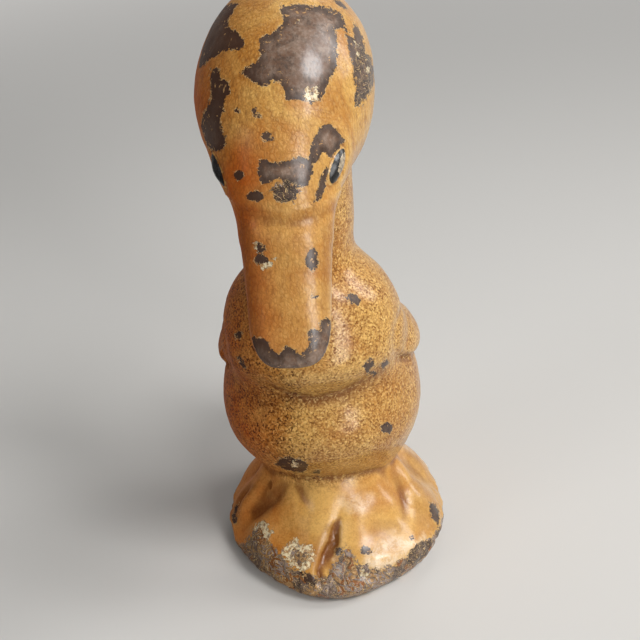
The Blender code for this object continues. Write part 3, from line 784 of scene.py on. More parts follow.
def markWear(made, eyeField):
    data = made.data
    places, normals = readAll(data.vertices, "co", 3), readAll(data.vertices, "normal", 3)
    pairs = readAll(data.edges, "vertices", 2, int)
    seen = seenShare(data, places, normals, pairs)
    pixels = pixelsOf(places)
    x, y, z = places.T
    onBill = smoothStep(-y, *wear["billFrom"]) * (z > wear["billBottom"])
    onHead = smoothStep(z - 0.2 * y, *wear["headFrom"])
    onFeet = smoothStep(wear["feetTop"] - z, 0.0, 0.002)
    onBody = (1 - onHead) * (1 - onBill)
    shade = smoothStep(-x, *wear["shadedFrom"])

    # Bare patches: traced where the photograph shows them, guessed elsewhere
    traced = [outline for name, outline in chips.items() if not name.startswith("bill")]
    shown = marked(pixels, traced + [ringOf(*spot) for spot in spots.values()])
    billChips = marked(pixels, [outline for name, outline in chips.items() if name.startswith("bill")])
    shown = np.maximum(shown, np.where(onBill < 0.5, -3, billChips))
    size = wear["patchSize"]
    rough = sum(height * noiseAt(places, size * share, seed) for share, height, seed in wear["patchNoise"])
    headShare = smoothStep(z, *wear["crownFrom"])
    outermost = smoothStep(abs(x), *wear["wingFrom"]) * (z > wear["wingBottom"])
    outermost = np.maximum(smoothStep(y, *wear["tailFrom"]), outermost)
    limit = wear["bodyPatches"] * (1 - headShare) + wear["headPatches"] * headShare
    limit += wear["outerPatches"] * outermost
    guessed = np.clip((rough - limit) * wear["patchSlope"], -3, 3)

    rim = wear["rimHeight"] - z * 1000
    rim += wear["rimSwing"] * (noiseAt(places, 0.0034, 6) + 0.6 * noiseAt(places, 0.0012, 7))
    rim[z > wear["rimLimit"]] = -3

    mean = np.stack([evened(places[:, k], pairs, 14) for k in range(3)], 1)
    hollow = evened(((mean - places) * normals).sum(1) * 1000, pairs, 3)  # above 0 in a hollow

    streaks = wear["streaks"]
    streak = streaks["head"] * onHead * (1 - onBill) + streaks["bill"] * onBill
    streak += (streaks["litBody"] * (1 - shade) + streaks["shadedBody"] * shade) * onBody * (1 - onFeet)
    # Painted shade: amber on the side turned away from the key lamp, and over the bill, most on its shaded
    # side
    (side, foot), (lit, shaded) = wear["stain"], wear["billShadedSideTint"]
    stain = (side * (1 - onFeet) + foot * onFeet) * shade * (1 - onBill)
    stain += (lit + (shaded - lit) * smoothStep(-x, -0.0005, 0.0045)) * onBill
    fields = {
        "bare": shown * seen + guessed * (1 - seen),
        "rim": marked(pixels, scaly.values()) * seen + rim * (1 - seen),
        "flake": np.where(seen > 0.5, marked(pixels, flakes.values()), -3.0),
        "hollow": hollow,
        "grain": onBody * (1 - onFeet + wear["feetGrain"] * onFeet),
        "crackle": np.maximum(onHead, onBill),
        "streak": streak,
        "stain": stain,
        "sheen": smoothStep(x, *wear["sheenFrom"]),
        # painted shade in the traced brown patches
        "grime": softly(pixels, grime, 3) * seen,
        # pale: paint rubbed thin, and a painted highlight
        "thin": softly(pixels, paleWearAndHighlight, 4) * seen,
        "eye": eyeField,
        # painted grey reflection on the eye
        "eyeWorn": np.where(seen > 0.4, marked(pixels, [eyes["worn"]]), -3.0),
    }
    for name, values in fields.items():
        layer = data.attributes.new(name, "FLOAT", "POINT")
        layer.data.foreach_set("value", values.astype(np.float32))


# Shader groups, used by every finish here
def feed(tree, socket, value):
    if isinstance(value, bpy.types.NodeSocket):
        tree.links.new(value, socket)
    else:
        socket.default_value = value


def addNode(tree, kind, values=None, **settings):
    made = tree.nodes.new("ShaderNode" + kind)
    for key, value in settings.items():
        setattr(made, key, value)
    for key, value in (values or {}).items():
        feed(tree, made.inputs[key], value)
    return made


def chain(tree, operation, first, *others):
    for value in others:
        first = addNode(tree, "Math", {0: first, 1: value}, operation=operation).outputs[0]
    return first


def product(tree, *values):
    return chain(tree, "MULTIPLY", *values)


def total(tree, *values):
    return chain(tree, "ADD", *values)


def less(tree, first, second):
    return chain(tree, "SUBTRACT", first, second)


def highest(tree, *values):
    return chain(tree, "MAXIMUM", *values)


def between(tree, value, low, high, outLow=0.0, outHigh=1.0):
    values = {"Value": value, "From Min": low, "From Max": high, "To Min": outLow, "To Max": outHigh}
    return addNode(tree, "MapRange", values, interpolation_type="SMOOTHSTEP").outputs[0]


def mixed(tree, share, first, second):
    return addNode(tree, "Mix", {0: share, 6: first, 7: second}, data_type="RGBA").outputs[2]


def layered(tree, colour, *layers):  # each layer: its share, its colour
    for share, tone in layers:
        colour = mixed(tree, share, colour, tone)
    return colour


def cloud(tree, place, scale, detail=2.0, rough=0.5, warp=0.0):
    values = {"Vector": place, "Scale": scale, "Detail": detail, "Roughness": rough, "Distortion": warp}
    return addNode(tree, "TexNoise", values).outputs[0]


def patches(tree, place, scale, detail, rough, warp, *limits):
    return between(tree, cloud(tree, place, scale, detail, rough, warp), *limits)


def stretched(tree, place, *scales):
    return addNode(tree, "VectorMath", {0: place, 1: scales}, operation="MULTIPLY").outputs[0]


def linear(red, green, blue):  # from the 0 to 255 colour as seen
    def one(value):
        value /= 255
        return value / 12.92 if value <= 0.04045 else ((value + 0.055) / 1.055) ** 2.4
    return (one(red), one(green), one(blue), 1.0)


def openGroup(name, takes):  # None takes a vector, a tuple a colour, a number a value
    group = bpy.data.node_groups.new(name, "ShaderNodeTree")
    for label, value in takes.items():
        kind = "Vector" if value is None else "Color" if isinstance(value, tuple) else "Float"
        socket = group.interface.new_socket(name=label, in_out="INPUT", socket_type="NodeSocket" + kind)
        if value is not None:
            socket.default_value = value
    return group, group.nodes.new("NodeGroupInput").outputs


def closeGroup(group, gives):
    for label in gives:
        kind = "Color" if label == "Color" else "Float"
        group.interface.new_socket(name=label, in_out="OUTPUT", socket_type="NodeSocket" + kind)
    end = group.nodes.new("NodeGroupOutput")
    for label, value in gives.items():
        feed(group, end.inputs[label], value)
    return group


def castGrainGroup():  # crinkled sand-cast skin: height, the dark lines between its grains, and painted glints on its grains
    takes = {"Place": None, "Grain Size": 0.45, "Line Width": 0.2, "Worms": 1.0, "Amount": 1.0}
    group, taken = openGroup("castGrain", takes)
    place, worms, amount = taken["Place"], taken["Worms"], taken["Amount"]
    bent = addNode(group, "TexNoise", {"Vector": place, "Scale": 2.8, "Detail": 2.0}).outputs[1]
    shift = stretched(group, bent, 0.40, 0.40, 0.40)
    moved = addNode(group, "VectorMath", {0: place, 1: shift}, operation="ADD").outputs[0]
    often = chain(group, "DIVIDE", 1.0, taken["Grain Size"])
    cells = addNode(group, "TexVoronoi", {"Vector": moved, "Scale": often}, feature="DISTANCE_TO_EDGE")
    toEdge = cells.outputs["Distance"]
    winding = cloud(group, moved, product(group, often, 1.7), 0.6)
    cellShare = less(group, 1.0, product(group, worms, 0.45))
    network = product(group, between(group, toEdge, 0.0, taken["Line Width"], 1.0, 0.0), cellShare)
    furrows = product(group, between(group, winding, 0.38, 0.50, 1.0, 0.0), worms)
    broken = patches(group, place, 2.4, 1.0, 0.5, 0.0, 0.32, 0.55, 0.30, 1.0)
    patchy = patches(group, place, 0.7, 4.0, 0.6, 0.0, 0.36, 0.62, 0.68, 1.0)
    lines = product(group, highest(group, network, furrows), broken, patchy)
    domed = product(group, between(group, toEdge, 0.0, 0.35), product(group, cellShare, 0.6))
    height = total(group, domed, product(group, cloud(group, moved, 5.5, 3.0, 0.6), 0.5))
    height = less(group, height, product(group, furrows, 0.6))
    inner = product(group, between(group, toEdge, 0.08, 0.30), cellShare)
    ridges = product(group, between(group, winding, 0.53, 0.64), worms)
    lively = patches(group, place, 1.7, 3.0, 0.65, 0.0, 0.36, 0.62)
    glints = product(group, highest(group, inner, ridges), lively)
    values = {"Height": height, "Lines": lines, "Glints": glints}
    return closeGroup(group, {label: product(group, value, amount) for label, value in values.items()})


def chippedEdgeGroup():  # a jagged edge out of a smooth field in mm: mask, pale rim and step height
    group, taken = openGroup("chippedEdge", {"Place": None, "Field": 0.0, "Jag": 0.45, "Rim Width": 0.14})
    place = taken["Place"]
    wide, middle, narrow = (less(group, cloud(group, place, *values), 0.5) for values in (
        (1.1, 3.0, 0.55, 0.4), (2.3, 2.0, 0.5, 0.3), (5.0, 2.0, 0.6)))
    jagged = total(group, product(group, wide, 1.7), product(group, middle, 1.5), product(group, narrow, 1.4))
    field = total(group, taken["Field"], product(group, jagged, taken["Jag"]))
    mask = between(group, field, -0.02, 0.03)
    outer = between(group, field, product(group, taken["Rim Width"], -1.0), 0.0)
    some = patches(group, place, 1.6, 1.0, 0.5, 0.0, 0.38, 0.6)
    return closeGroup(group, {
        "Mask": mask,
        "Rim": product(group, outer, less(group, 1.0, mask), some),
        "Height": between(group, field, -0.08, 0.06, 1.0, 0.0),
    })


def darkIronGroup():  # old brown-grey patina on bare iron
    dark, light, rust = (0.03, 0.02, 0.015, 1), (0.2, 0.15, 0.11, 1), (0.2, 0.08, 0.03, 1)
    group, taken = openGroup("darkIron", {"Place": None, "Dark": dark, "Light": light, "Rust": rust})
    place = taken["Place"]
    broad = cloud(group, place, 0.5, 4.0, 0.6, 0.5)
    speckle = cloud(group, stretched(group, place, 1.0, 1.0, 0.45), 3.2, 4.0, 0.7)
    tone = total(group, product(group, broad, 0.6), product(group, speckle, 0.45))
    rusty = product(group, patches(group, place, 0.9, 4.0, 0.6, 0.0, 0.50, 0.68), 0.45)
    colour = mixed(group, between(group, tone, 0.36, 0.68), taken["Dark"], taken["Light"])
    return closeGroup(group, {
        "Color": mixed(group, rusty, colour, taken["Rust"]),
        "Roughness": between(group, speckle, 0.3, 0.7, 0.28, 0.40),
        "Height": speckle,
    })


def wornScaleGroup():  # flaked layers that wind about: a value for each, its raised edge, its crevice
    group, taken = openGroup("wornScale", {"Place": None, "Often": 0.75})
    place = taken["Place"]
    steps = product(group, cloud(group, place, taken["Often"], 2.0, 0.55, 1.5), 7.0)
    share = chain(group, "FRACT", steps, 0.0)
    areas = addNode(group, "TexVoronoi", {"Vector": place, "Scale": 0.55}).outputs["Color"]
    tint = addNode(group, "SeparateColor", {"Color": areas}).outputs[0]
    index = total(group, chain(group, "FLOOR", steps, 0.0), product(group, tint, 50.0))
    index = chain(group, "FLOOR", index, 0.0)
    layer = addNode(group, "TexWhiteNoise", {"W": index}, noise_dimensions="1D").outputs["Value"]
    some = patches(group, place, 1.3, 2.0, 0.5, 0.0, 0.34, 0.48)
    height = total(group, product(group, less(group, 1.0, share), 0.55), product(group, layer, 0.35),
                   product(group, cloud(group, place, 4.0, 3.0, 0.6), 0.35))
    return closeGroup(group, {
        "Layer": layer,
        "Edge": product(group, between(group, share, 0.04, 0.26, 1.0, 0.0), some),
        "Crevice": between(group, share, 0.78, 1.0),
        "Height": height,
    })


castGrain, chippedEdge = castGrainGroup(), chippedEdgeGroup()
darkIron, wornScale = darkIronGroup(), wornScaleGroup()
print("stage: shader groups made")


def newMaterial(name, values):
    made = bpy.data.materials.new(name)
    made.use_nodes = True
    shader = made.node_tree.nodes["Principled BSDF"]
    for key, value in values.items():
        shader.inputs[key].default_value = value
    return made, made.node_tree, shader


def millimetres(tree):
    place = addNode(tree, "TexCoord").outputs["Object"]
    return addNode(tree, "VectorMath", {0: place, "Scale": 1000.0}, operation="SCALE").outputs[0]


def fromGroup(tree, group, values):
    made = addNode(tree, "Group", node_tree=group)
    for key, value in values.items():
        feed(tree, made.inputs[key], value)
    return made.outputs


paint = {
    "pale": linear(216, 167, 88),
    "deep": linear(188, 128, 52),
    # painted shade on the side away from the key lamp
    "shadedAmber": linear(182, 82, 6),
    "brown": linear(116, 60, 14),
    "line": linear(70, 31, 5),
    # painted light: the grain's lines on the side towards the key lamp
    "lineOnLitSide": linear(138, 86, 32),
    # painted glints on the grains, and the painted highlight ring round the eyes
    "glint": linear(246, 208, 130),
    # painted glints on the shaded side
    "glintDeep": linear(206, 124, 34),
    # paler ridges: worn paint, and a painted highlight on the lit side
    "rubbedAndLitTone": linear(226, 182, 112),
    # paint rubbed thin, and a painted highlight
    "thinnedAndLit": linear(240, 218, 188),
    "undercoat": linear(226, 190, 134),
    "cream": linear(242, 224, 184),
    "tan": linear(184, 142, 92),
    "ironDark": linear(64, 48, 38),
    "ironLight": linear(150, 127, 110),
    "ironFilm": linear(112, 80, 58),
    "ironShaded": linear(62, 33, 16),
    "rust": linear(96, 58, 32),
    "scaleBrown": linear(150, 94, 48),
    "scaleGrey": linear(160, 140, 128),
    "crevice": linear(44, 28, 18),
    "eyeBlack": linear(16, 13, 11),
    # painted reflection on the black eye
    "eyeGrey": linear(190, 172, 146),
    "skin": {"grainSize": 0.45, "lineWidth": 0.24, "worms": 1.0, "glints": 0.55, "lines": 0.95},
    "enamel": {"grainSize": 0.44, "lineWidth": 0.12, "worms": 0.25, "glints": 0.20, "lines": 0.34},
    "edges": {  # how jagged, width of the pale rim
        "chip": (0.46, 0.18),
        "rim": (0.9, 0.2),
        "torn": (0.6, 0.05),
        "eye": (0.3, 0.1),
    },
    "rimOften": 0.75,
    "noises": {  # scale, detail, roughness, warp, where it starts and ends, strengths there if not 0 and 1
        "tone": (0.16, 5.0, 0.62, 0.6, 0.34, 0.62),
        "mottle": (1.2, 4.0, 0.65, 0.0, 0.44, 0.70),
        "uneven": (0.35, 4.0, 0.6, 0.0, 0.3, 0.65, 0.75, 1.0),
        "streaks": (1.0, 3.0, 0.6, 0.0, 0.46, 0.68),
        "hollowBrown": (0.8, 3.0, 0.5, 0.0, 0.2, 0.6, 0.5, 0.95),
        "thinnedAndLit": (1.1, 5.0, 0.7, 0.5, 0.36, 0.62, 0.25, 1.0),
        "speck": (6.0, 2.0, 0.6, 0.0, 0.55, 0.75),
        "crumbs": (1.7, 3.0, 0.6, 0.5, 0.63, 0.65),
        "ironFilm": (1.5, 5.0, 0.7, 0.6, 0.42, 0.60, 0.0, 0.60),
        "cream": (2.4, 4.0, 0.7, 0.0, 0.44, 0.52),
        "tornIron": (2.0, 3.0, 0.6, 0.0, 0.58, 0.62, 0.0, 0.7),
        "eyeRimHighlight": (1.5, 2.0, 0.5, 0.0, 0.4, 0.55, 0.0, 0.4),
        "eyeReflectionBreakup": (2.2, 3.0, 0.5, 0.0, 0.40, 0.62, 0.45, 1.0),
    },
    "strengths": {
        "hollowBrown": 0.80,
        "rubbedAndLit": 0.55,
        "speck": 0.3,
        "chipRim": 0.90,
        "scaleTan": 0.9,
        "scaleShaded": 0.6,
        "scaleSpeck": 0.6,
        "crevice": 0.9,
        "scaleEdge": 0.9,
        "footRim": 0.7,
        "cracks": 0.7,
    },
    "roughness": 0.34,
    "eyeRoughness": 0.12,
    "specular": 0.12,
    "coat": (0.95, 1.0),  # on paint, on bare iron
    "coatRoughness": 0.24,
    "dullSide": 0.20,  # extra roughness away from the key lamp
    "heights": {  # mm
        "skin": 0.075,
        "enamel": 0.055,
        "chips": 0.12,
        "iron": 0.03,
        "scale": 0.30,
        "torn": 0.18,
        "waves": 0.06,
    },
}


def paintedIron(name):
    made, tree, shader = newMaterial(name, {
        "Coat Roughness": paint["coatRoughness"],
        "Specular IOR Level": paint["specular"],
    })
    place = millimetres(tree)
    names = "bare rim flake hollow grain crackle streak stain sheen grime thin eye eyeWorn".split()
    bare, rim, flake, hollow, grain, cracked, streaky, stain, sheen, tracedShade, thin, eyeField, eyeWorn = (
        addNode(tree, "Attribute", attribute_name=key).outputs["Fac"] for key in names)

    def noisy(key, where=place):
        return patches(tree, where, *paint["noises"][key])

    def some(share, key):
        return product(tree, share, paint["strengths"][key])

    def grainOf(where, amount, values):
        return fromGroup(tree, castGrain, {
            "Place": where,
            "Grain Size": values["grainSize"],
            "Line Width": values["lineWidth"],
            "Worms": values["worms"],
            "Amount": amount,
        })

    def edgeOf(field, kind):
        jag, width = paint["edges"][kind]
        return fromGroup(tree, chippedEdge, {"Place": place, "Field": field, "Jag": jag, "Rim Width": width})

    # Paint: two ochres; painted shade in amber on the shaded side and in brown in the traced patches; browner
    # in hollows; paler where rubbed, partly as painted highlight
    tone, mottle, uneven, speck = (noisy(key) for key in ("tone", "mottle", "uneven", "speck"))
    streaks = noisy("streaks", stretched(tree, place, 2.4, 2.4, 0.5))
    # browner and duller in hollows
    inHollows = product(tree, between(tree, hollow, 0.012, 0.09), noisy("hollowBrown"))
    # paler on ridges: worn paint, and a painted highlight, on the lit side only
    rubbedAndLit = product(tree, between(tree, hollow, -0.10, -0.015, 1.0, 0.0), sheen)
    colour = layered(
        tree, mixed(tree, tone, paint["deep"], paint["pale"]),
        # brown mottle, stronger on the side away from the key lamp as painted shade
        (product(tree, mottle, between(tree, sheen, 0.0, 1.0, 0.26, 0.10)), paint["brown"]),
        # painted shade: amber on the side away from the key lamp
        (product(tree, stain, uneven), paint["shadedAmber"]),
        (product(tree, streaks, streaky), paint["brown"]),
        (some(inHollows, "hollowBrown"), paint["brown"]),
        (some(rubbedAndLit, "rubbedAndLit"), paint["rubbedAndLitTone"]),
        # painted shade: brown in the traced patches
        (product(tree, tracedShade, uneven), paint["brown"]),
        # paint rubbed thin, and a painted highlight
        (product(tree, thin, noisy("thinnedAndLit")), paint["thinnedAndLit"]),
    )

    # Crinkled skin of the body, and the fine crackle of the enamel on head and bill; their painted glints
    # turn deeper orange on the shaded side
    skin = grainOf(place, grain, paint["skin"])
    enamel = grainOf(stretched(tree, place, 1.0, 1.0, 0.62), cracked, paint["enamel"])
    # painted glints, deeper orange where the painted shade is
    glintTone = mixed(tree, stain, paint["glint"], paint["glintDeep"])
    # painted light: the lines paler on the side towards the key lamp
    lineTone = mixed(tree, between(tree, sheen, 0.35, 1.0, 0.0, 0.8), paint["line"], paint["lineOnLitSide"])
    for cover, values in ((skin, paint["skin"]), (enamel, paint["enamel"])):
        colour = layered(tree, colour, (product(tree, cover["Glints"], values["glints"]), glintTone),
                         (product(tree, cover["Lines"], values["lines"]), lineTone))

    # Bare iron in the chips, with crumbs of paint left near their edges. Painted shade darkens it near the
    # edges, in small chips and away from the key lamp; the light tone left deep in the big patches is painted
    # reflection
    iron = fromGroup(tree, darkIron, {
        "Place": place, "Dark": paint["ironDark"], "Light": paint["ironLight"], "Rust": paint["rust"],
    })
    chip = edgeOf(bare, "chip")
    crumbs = product(tree, noisy("crumbs"), between(tree, bare, 0.9, 1.5, 1.0, 0.0))
    ironTone = layered(
        tree, iron["Color"],
        (noisy("ironFilm"), paint["ironFilm"]),
        # painted shade: darker near the chip edges and in small chips
        (between(tree, bare, 0.3, 1.2, 0.65, 0.0), paint["crevice"]),
        # painted shade: darker away from the key lamp
        (between(tree, sheen, 0.0, 1.0, 0.75, 0.0), paint["ironShaded"]),
        (crumbs, paint["tan"]),
    )
    colour = layered(tree, colour, (some(speck, "speck"), paint["brown"]),
                     (some(chip["Rim"], "chipRim"), paint["undercoat"]), (chip["Mask"], ironTone))

    # Worn rim of the feet: layers of scale, old paint and dark specks in the crevices, with pale edges, and
    # painted shade on the side away from the key lamp
    worn = edgeOf(rim, "rim")
    scales = fromGroup(tree, wornScale, {"Place": place, "Often": paint["rimOften"]})
    ringTone = layered(
        tree, iron["Color"],
        (between(tree, scales["Layer"], 0.26, 0.28), paint["scaleGrey"]),
        (between(tree, scales["Layer"], 0.52, 0.54), paint["scaleBrown"]),
        (some(between(tree, scales["Layer"], 0.72, 0.74), "scaleTan"), paint["tan"]),
        (chip["Mask"], ironTone),
        # painted shade: the worn rim darker on the side away from the key lamp
        (some(stain, "scaleShaded"), paint["ironShaded"]),
        (some(speck, "scaleSpeck"), paint["crevice"]),
        (some(scales["Crevice"], "crevice"), paint["crevice"]),
        (some(scales["Edge"], "scaleEdge"), paint["undercoat"]),
    )
    colour = layered(tree, colour, (some(worn["Rim"], "footRim"), paint["undercoat"]),
                     (worn["Mask"], ringTone))

    # Torn edges, where the pale undercoat shows round a grey heart
    torn = edgeOf(flake, "torn")
    heart = product(tree, less(tree, cloud(tree, place, 1.8, 4.0, 0.65, 0.6), 0.5), 2.6)
    pale = between(tree, total(tree, flake, heart), 0.70, 0.80, 1.0, 0.0)
    creamTone = layered(tree, paint["tan"], (noisy("cream"), paint["cream"]),
                        (noisy("tornIron"), paint["ironLight"]))
    colour = layered(tree, colour, (torn["Mask"], mixed(tree, pale, ringTone, creamTone)))

    # Painted eyes: black, with a painted grey reflection and a painted highlight ring round them
    eyeMask = between(tree, eyeField, 0.0, 0.06)
    # painted highlight ring round the eye
    eyeRimHighlight = product(tree, between(tree, eyeField, -0.14, -0.05), less(tree, 1.0, eyeMask), noisy("eyeRimHighlight"))
    # painted grey reflection on the black eye
    eyeReflectionShare = product(tree, edgeOf(eyeWorn, "eye")["Mask"], noisy("eyeReflectionBreakup"))
    eyeTone = mixed(tree, eyeReflectionShare, paint["eyeBlack"], paint["eyeGrey"])
    colour = layered(tree, colour, (eyeRimHighlight, paint["glint"]), (eyeMask, eyeTone))
    tree.links.new(colour, shader.inputs["Base Color"])

    # Gloss: duller away from the key lamp, in hollows and in the cracks
    bareAll = highest(tree, chip["Mask"], worn["Mask"], torn["Mask"])
    onPaint = less(tree, 1.0, bareAll)
    rough = total(tree, paint["roughness"], product(tree, mottle, 0.08), product(tree, inHollows, 0.15))
    ironRough = total(tree, iron["Roughness"], product(tree, worn["Mask"], 0.06))
    rough = addNode(tree, "Mix", {0: bareAll, 2: rough, 3: ironRough}).outputs[0]
    rough = total(tree, rough, between(tree, sheen, 0.0, 1.0, paint["dullSide"], 0.0))
    rough = addNode(tree, "Mix", {0: eyeMask, 2: rough, 3: paint["eyeRoughness"]}).outputs[0]
    tree.links.new(rough, shader.inputs["Roughness"])
    cracks = some(highest(tree, skin["Lines"], enamel["Lines"]), "cracks")
    coat = product(tree, between(tree, bareAll, 0.0, 1.0, *paint["coat"]), sheen, less(tree, 1.0, cracks))
    tree.links.new(coat, shader.inputs["Coat Weight"])

    parts = {
        "skin": (skin["Height"], onPaint),
        "enamel": (enamel["Height"], onPaint),
        "chips": (chip["Height"], worn["Height"]),
        "iron": (iron["Height"],),
        "scale": (scales["Height"], worn["Mask"]),
        "torn": (total(tree, pale, speck), torn["Mask"]),
        "waves": (cloud(tree, place, 0.5),),
    }
    height = total(tree, *(product(tree, *values, paint["heights"][key]) for key, values in parts.items()))
    bump = addNode(tree, "Bump", {"Height": height, "Strength": 1.0, "Distance": 0.001})
    tree.links.new(bump.outputs[0], shader.inputs["Normal"])
    return made


screw = {
    "y": 0.0030,
    "height": 0.0215,
    "radius": 0.00175,
    "headRadius": 0.0031,
    "headHeight": 0.0021,
    "dome": 0.0005,
    "slotWidth": 0.0008,
    "slotDepth": 0.0010,
    "turn": 20,
    "seatDepth": 0.0032,
    "engagement": 0.0068,
    "clearance": 0.0003,
    "steel": {"Dark": linear(58, 52, 47), "Light": linear(122, 114, 106), "Rust": linear(96, 58, 34)},
}


def agedSteel():
    made, tree, shader = newMaterial("agedSteel", {"Metallic": 0.85})
    place = millimetres(tree)
    iron = fromGroup(tree, darkIron, {"Place": place, **screw["steel"]})
    grain = fromGroup(tree, castGrain, {"Place": place, "Grain Size": 0.5, "Amount": 0.3})
    colour = mixed(tree, grain["Lines"], iron["Color"], screw["steel"]["Dark"])
    tree.links.new(colour, shader.inputs["Base Color"])
    tree.links.new(iron["Roughness"], shader.inputs["Roughness"])
    bump = addNode(tree, "Bump", {"Height": iron["Height"], "Strength": 0.4, "Distance": 0.0001})
    tree.links.new(bump.outputs[0], shader.inputs["Normal"])
    return made


def alongX(start, turn):
    return Matrix.Translation((start, screw["y"], screw["height"])) @ Matrix.Rotation(turn, 4, "Y")


def pinAlongX(name, start, end, radius):
    mesh = bmesh.new()
    sizes = {"radius1": radius, "radius2": radius, "depth": abs(end - start)}
    bmesh.ops.create_cone(mesh, cap_ends=True, segments=64, **sizes)
    mesh.transform(alongX((start + end) / 2, math.pi / 2))
    return objectFrom(name, [mesh])


def cutWith(made, tool):
    cut = made.modifiers.new("Cut", "BOOLEAN")
    cut.object = tool
    cut.operation = "DIFFERENCE"
    cut.solver = "EXACT"
    keepShape(made)
    bpy.data.objects.remove(tool)


def halfOf(skin, name, side, gap=0.000003):
    mesh = bmesh.new()
    mesh.from_mesh(skin.data)
    for place, facing in (((0, 0, 0), (0, 0, 1)), ((side * gap, 0, 0), (side, 0, 0))):
        whole = mesh.verts[:] + mesh.edges[:] + mesh.faces[:]
        bmesh.ops.bisect_plane(mesh, geom=whole, plane_co=place, plane_no=facing, clear_inner=True)
        rim = [edge for edge in mesh.edges if edge.is_boundary]
        bmesh.ops.triangle_fill(mesh, use_beauty=True, edges=rim, normal=-Vector(facing))
    bmesh.ops.recalc_face_normals(mesh, faces=mesh.faces)
    data = bpy.data.meshes.new(name)
    mesh.to_mesh(data)
    mesh.free()
    return placed(name, data)


def screwPiece(seat):
    wide, high, dome, thin = (screw[key] for key in ("headRadius", "headHeight", "dome", "radius"))
    length = screw["clearance"] / 2 + screw["engagement"] - seat - screw["clearance"]
    crown = ((0, 0), (0.35, 0.08), (0.65, 0.35), (0.86, 0.75), (0.97, 1.15), (1, 1.5))  # of radius, of dome
    profile = [(wide * out, high - dome * down) for out, down in crown]
    profile += [(wide, 0.0001), (wide * 0.97, 0), (thin, 0)]
    profile += [(thin, thin * 0.3 - length), (thin * 0.7, -length), (0, -length)]
    mesh = bmesh.new()
    line = [mesh.verts.new((radius, 0, z)) for radius, z in profile]
    for a, b in zip(line, line[1:]):
        mesh.edges.new((a, b))
    made = objectFrom("screwPiece", [mesh])
    turned = made.modifiers.new("Turn", "SCREW")
    turned.axis = "Z"
    turned.steps = turned.render_steps = 72
    turned.use_merge_vertices = True
    turned.merge_threshold = 1e-6
    keepShape(made)
    slot = bmesh.new()
    bmesh.ops.create_cube(slot, size=1)
    middleHeight = high - screw["slotDepth"] + 0.0015  # the cutter is 3 mm high
    size = Matrix.Diagonal((4 * wide, screw["slotWidth"], 0.003, 1))
    slot.transform(Matrix.Translation((0, 0, middleHeight)) @ size)
    cutWith(made, objectFrom("slotTool", [slot]))
    made.data.transform(Matrix.Rotation(math.radians(screw["turn"]), 4, "Z"))
    made.data.transform(alongX(seat - screw["clearance"], -math.pi / 2))
    return made


def smoothShade(made, sharp=40):
    made.data.shade_smooth()
    made.data.set_sharp_from_angle(angle=math.radians(sharp))


# At the joint, the outside keeps the whole figure's normals
def hideSeam(made, tree, outward, reach=0.00004):
    data = made.data
    normals = [corner.vector.copy() for corner in data.corner_normals]
    for face in data.polygons:
        for corner in face.loop_indices:
            place = data.vertices[data.loops[corner].vertex_index].co
            if abs(place.x) > reach:
                continue
            hit, _, index, _ = tree.find_nearest(place)
            whole = outward(index, hit)
            if whole.dot(face.normal) > 0.5:
                normals[corner] = whole
    data.normals_split_custom_set(normals)


def outwardOf(data):
    corners = [[data.vertices[v].co.copy() for v in face.vertices] for face in data.polygons]
    normals = [[data.vertices[v].normal.copy() for v in face.vertices] for face in data.polygons]

    def outward(index, place):
        shares = interpolate.poly_3d_calc(corners[index], place)
        return sum((n * share for n, share in zip(normals[index], shares)), Vector()).normalized()

    return outward


# Build
skin = duckSkin()
print("stage: skin made,", len(skin.data.polygons), "faces")
eyeField = carve(skin)
print("stage: relief carved")
markWear(skin, eyeField)
print("stage: wear marked")

left = halfOf(skin, "leftHalf", 1)
right = halfOf(skin, "rightHalf", -1)
wholeTree, outward = surfaceOf(skin.data), outwardOf(skin.data)
bpy.data.objects.remove(skin)
play = screw["clearance"]
seat = screw["seatDepth"] - body["belly"][2]
cutWith(right, pinAlongX("headTool", seat - 0.02, seat, screw["headRadius"] + play))
cutWith(right, pinAlongX("boreTool", seat - 0.001, 0.001, screw["radius"] + play))
cutWith(left, pinAlongX("tapTool", -0.001, screw["engagement"] + 2 * play, screw["radius"] + play))
bolt = screwPiece(seat)
print("stage: halves parted")

cadLow, cadHigh = cadBox
lengths = np.concatenate([readAll(made.data.vertices, "co", 3)[:, 1] for made in (left, right)])
slide = (cadLow.y + cadHigh.y - lengths.min() - lengths.max()) / 2
for made, finish, node, slot in (
    (left, paintedIron("ochrePaintLeft"), "left_casting", "left_paint"),
    (right, paintedIron("ochrePaintRight"), "right_casting", "right_paint"),
    (bolt, agedSteel(), "assembly_screw", "screw_steel"),
):
    made.data.materials.clear()
    made.data.materials.append(finish)
    smoothShade(made)
    if made is not bolt:
        hideSeam(made, wholeTree, outward)
    made.data.transform(Matrix.Translation((0, slide, 0)))
    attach(made, "root")
    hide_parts(node)
print("stage: pieces finished, slid by", round(slide * 1000, 3), "mm")

# Stage: a plain pale floor and soft studio light
studio = {
    "floorSize": 6.0,
    "floorColour": linear(216, 214, 210),
    "floorDarker": 0.97,  # brightness of its darker patches
    "horizon": linear(204, 202, 199),
    "fadesOut": (0.12, 0.36),  # metres from the duck, where the floor turns into the horizon
    "world": (0.13, 0.13, 0.13, 1),
    "aim": (0, 0, 0.035),
    "spread": 90,  # degrees
    "lamps": {  # place, width and height, watts
        "key": ((0.235, -0.125, 0.340), (0.15, 0.15), 0.245),
        "side": ((0.327, 0.088, 0.265), (0.13, 0.32), 0.20),
        "front": ((0.226, -0.335, 0.147), (0.10, 0.26), 0.145),
        "fill": ((-0.34, -0.22, 0.20), (0.16, 0.16), 0.062),
        "rear": ((0.06, 0.36, 0.30), (0.20, 0.20), 0.075),
    },
}
black = (0, 0, 0, 1)


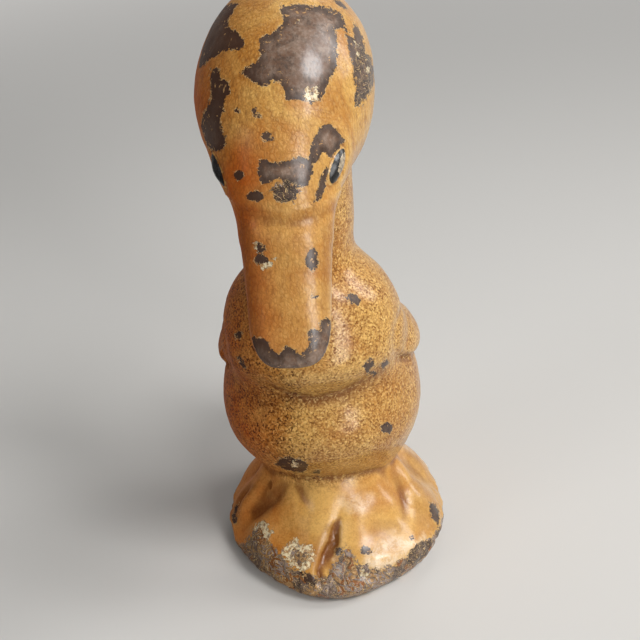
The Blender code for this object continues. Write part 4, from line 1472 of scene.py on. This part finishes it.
def areaLight(name, place, size, watts):
    data = bpy.data.lights.new(name, "AREA")
    data.shape = "RECTANGLE"
    data.size, data.size_y = size
    data.energy = watts
    data.spread = math.radians(studio["spread"])
    made = placed(name, data)
    made.location = place
    made.rotation_euler = (Vector(studio["aim"]) - Vector(place)).to_track_quat("-Z", "Y").to_euler()


def seenDirectly(tree):
    path = addNode(tree, "LightPath").outputs
    return highest(tree, path["Is Glossy Ray"], path["Is Transmission Ray"], path["Is Camera Ray"])


def makeStage():
    mesh = bmesh.new()
    bmesh.ops.create_grid(mesh, x_segments=1, y_segments=1, size=studio["floorSize"] / 2)
    floor = objectFrom("floor", [mesh])
    floor.location.z = -0.0001
    values = {"Roughness": 0.6, "Specular IOR Level": 0.0, "Emission Strength": 1.0}
    finish, tree, shader = newMaterial("paleFloor", values)
    place = addNode(tree, "TexCoord").outputs["Object"]
    darker = tuple(part * studio["floorDarker"] for part in studio["floorColour"][:3]) + (1,)
    soft = mixed(tree, cloud(tree, place, 9.0), studio["floorColour"], darker)
    away = addNode(tree, "VectorMath", {0: place}, operation="LENGTH").outputs["Value"]
    far = between(tree, away, *studio["fadesOut"])
    glow = product(tree, far, seenDirectly(tree))
    tree.links.new(mixed(tree, far, soft, black), shader.inputs["Base Color"])
    tree.links.new(mixed(tree, glow, black, studio["horizon"]), shader.inputs["Emission Color"])
    floor.data.materials.append(finish)
    for name, values in studio["lamps"].items():
        areaLight(name + "Light", *values)
    world = bpy.data.worlds.new("studioWorld")
    world.use_nodes = True
    sky = mixed(world.node_tree, seenDirectly(world.node_tree), studio["world"], studio["horizon"])
    world.node_tree.links.new(sky, world.node_tree.nodes["Background"].inputs["Color"])
    bpy.context.scene.world = world


def makeCamera():
    data = bpy.data.cameras.new("photoCamera")
    data.lens = photoCamera["lens"]
    data.sensor_width = photoCamera["sensor"]
    data.clip_start = 0.005
    made = placed("photoCamera", data)
    made.matrix_world = Matrix.Translation((0, slide, 0)) @ eyePoint
    bpy.context.scene.camera = made


makeStage()
makeCamera()
bpy.context.scene.view_settings.view_transform = "Standard"
print("stage: light and camera set")
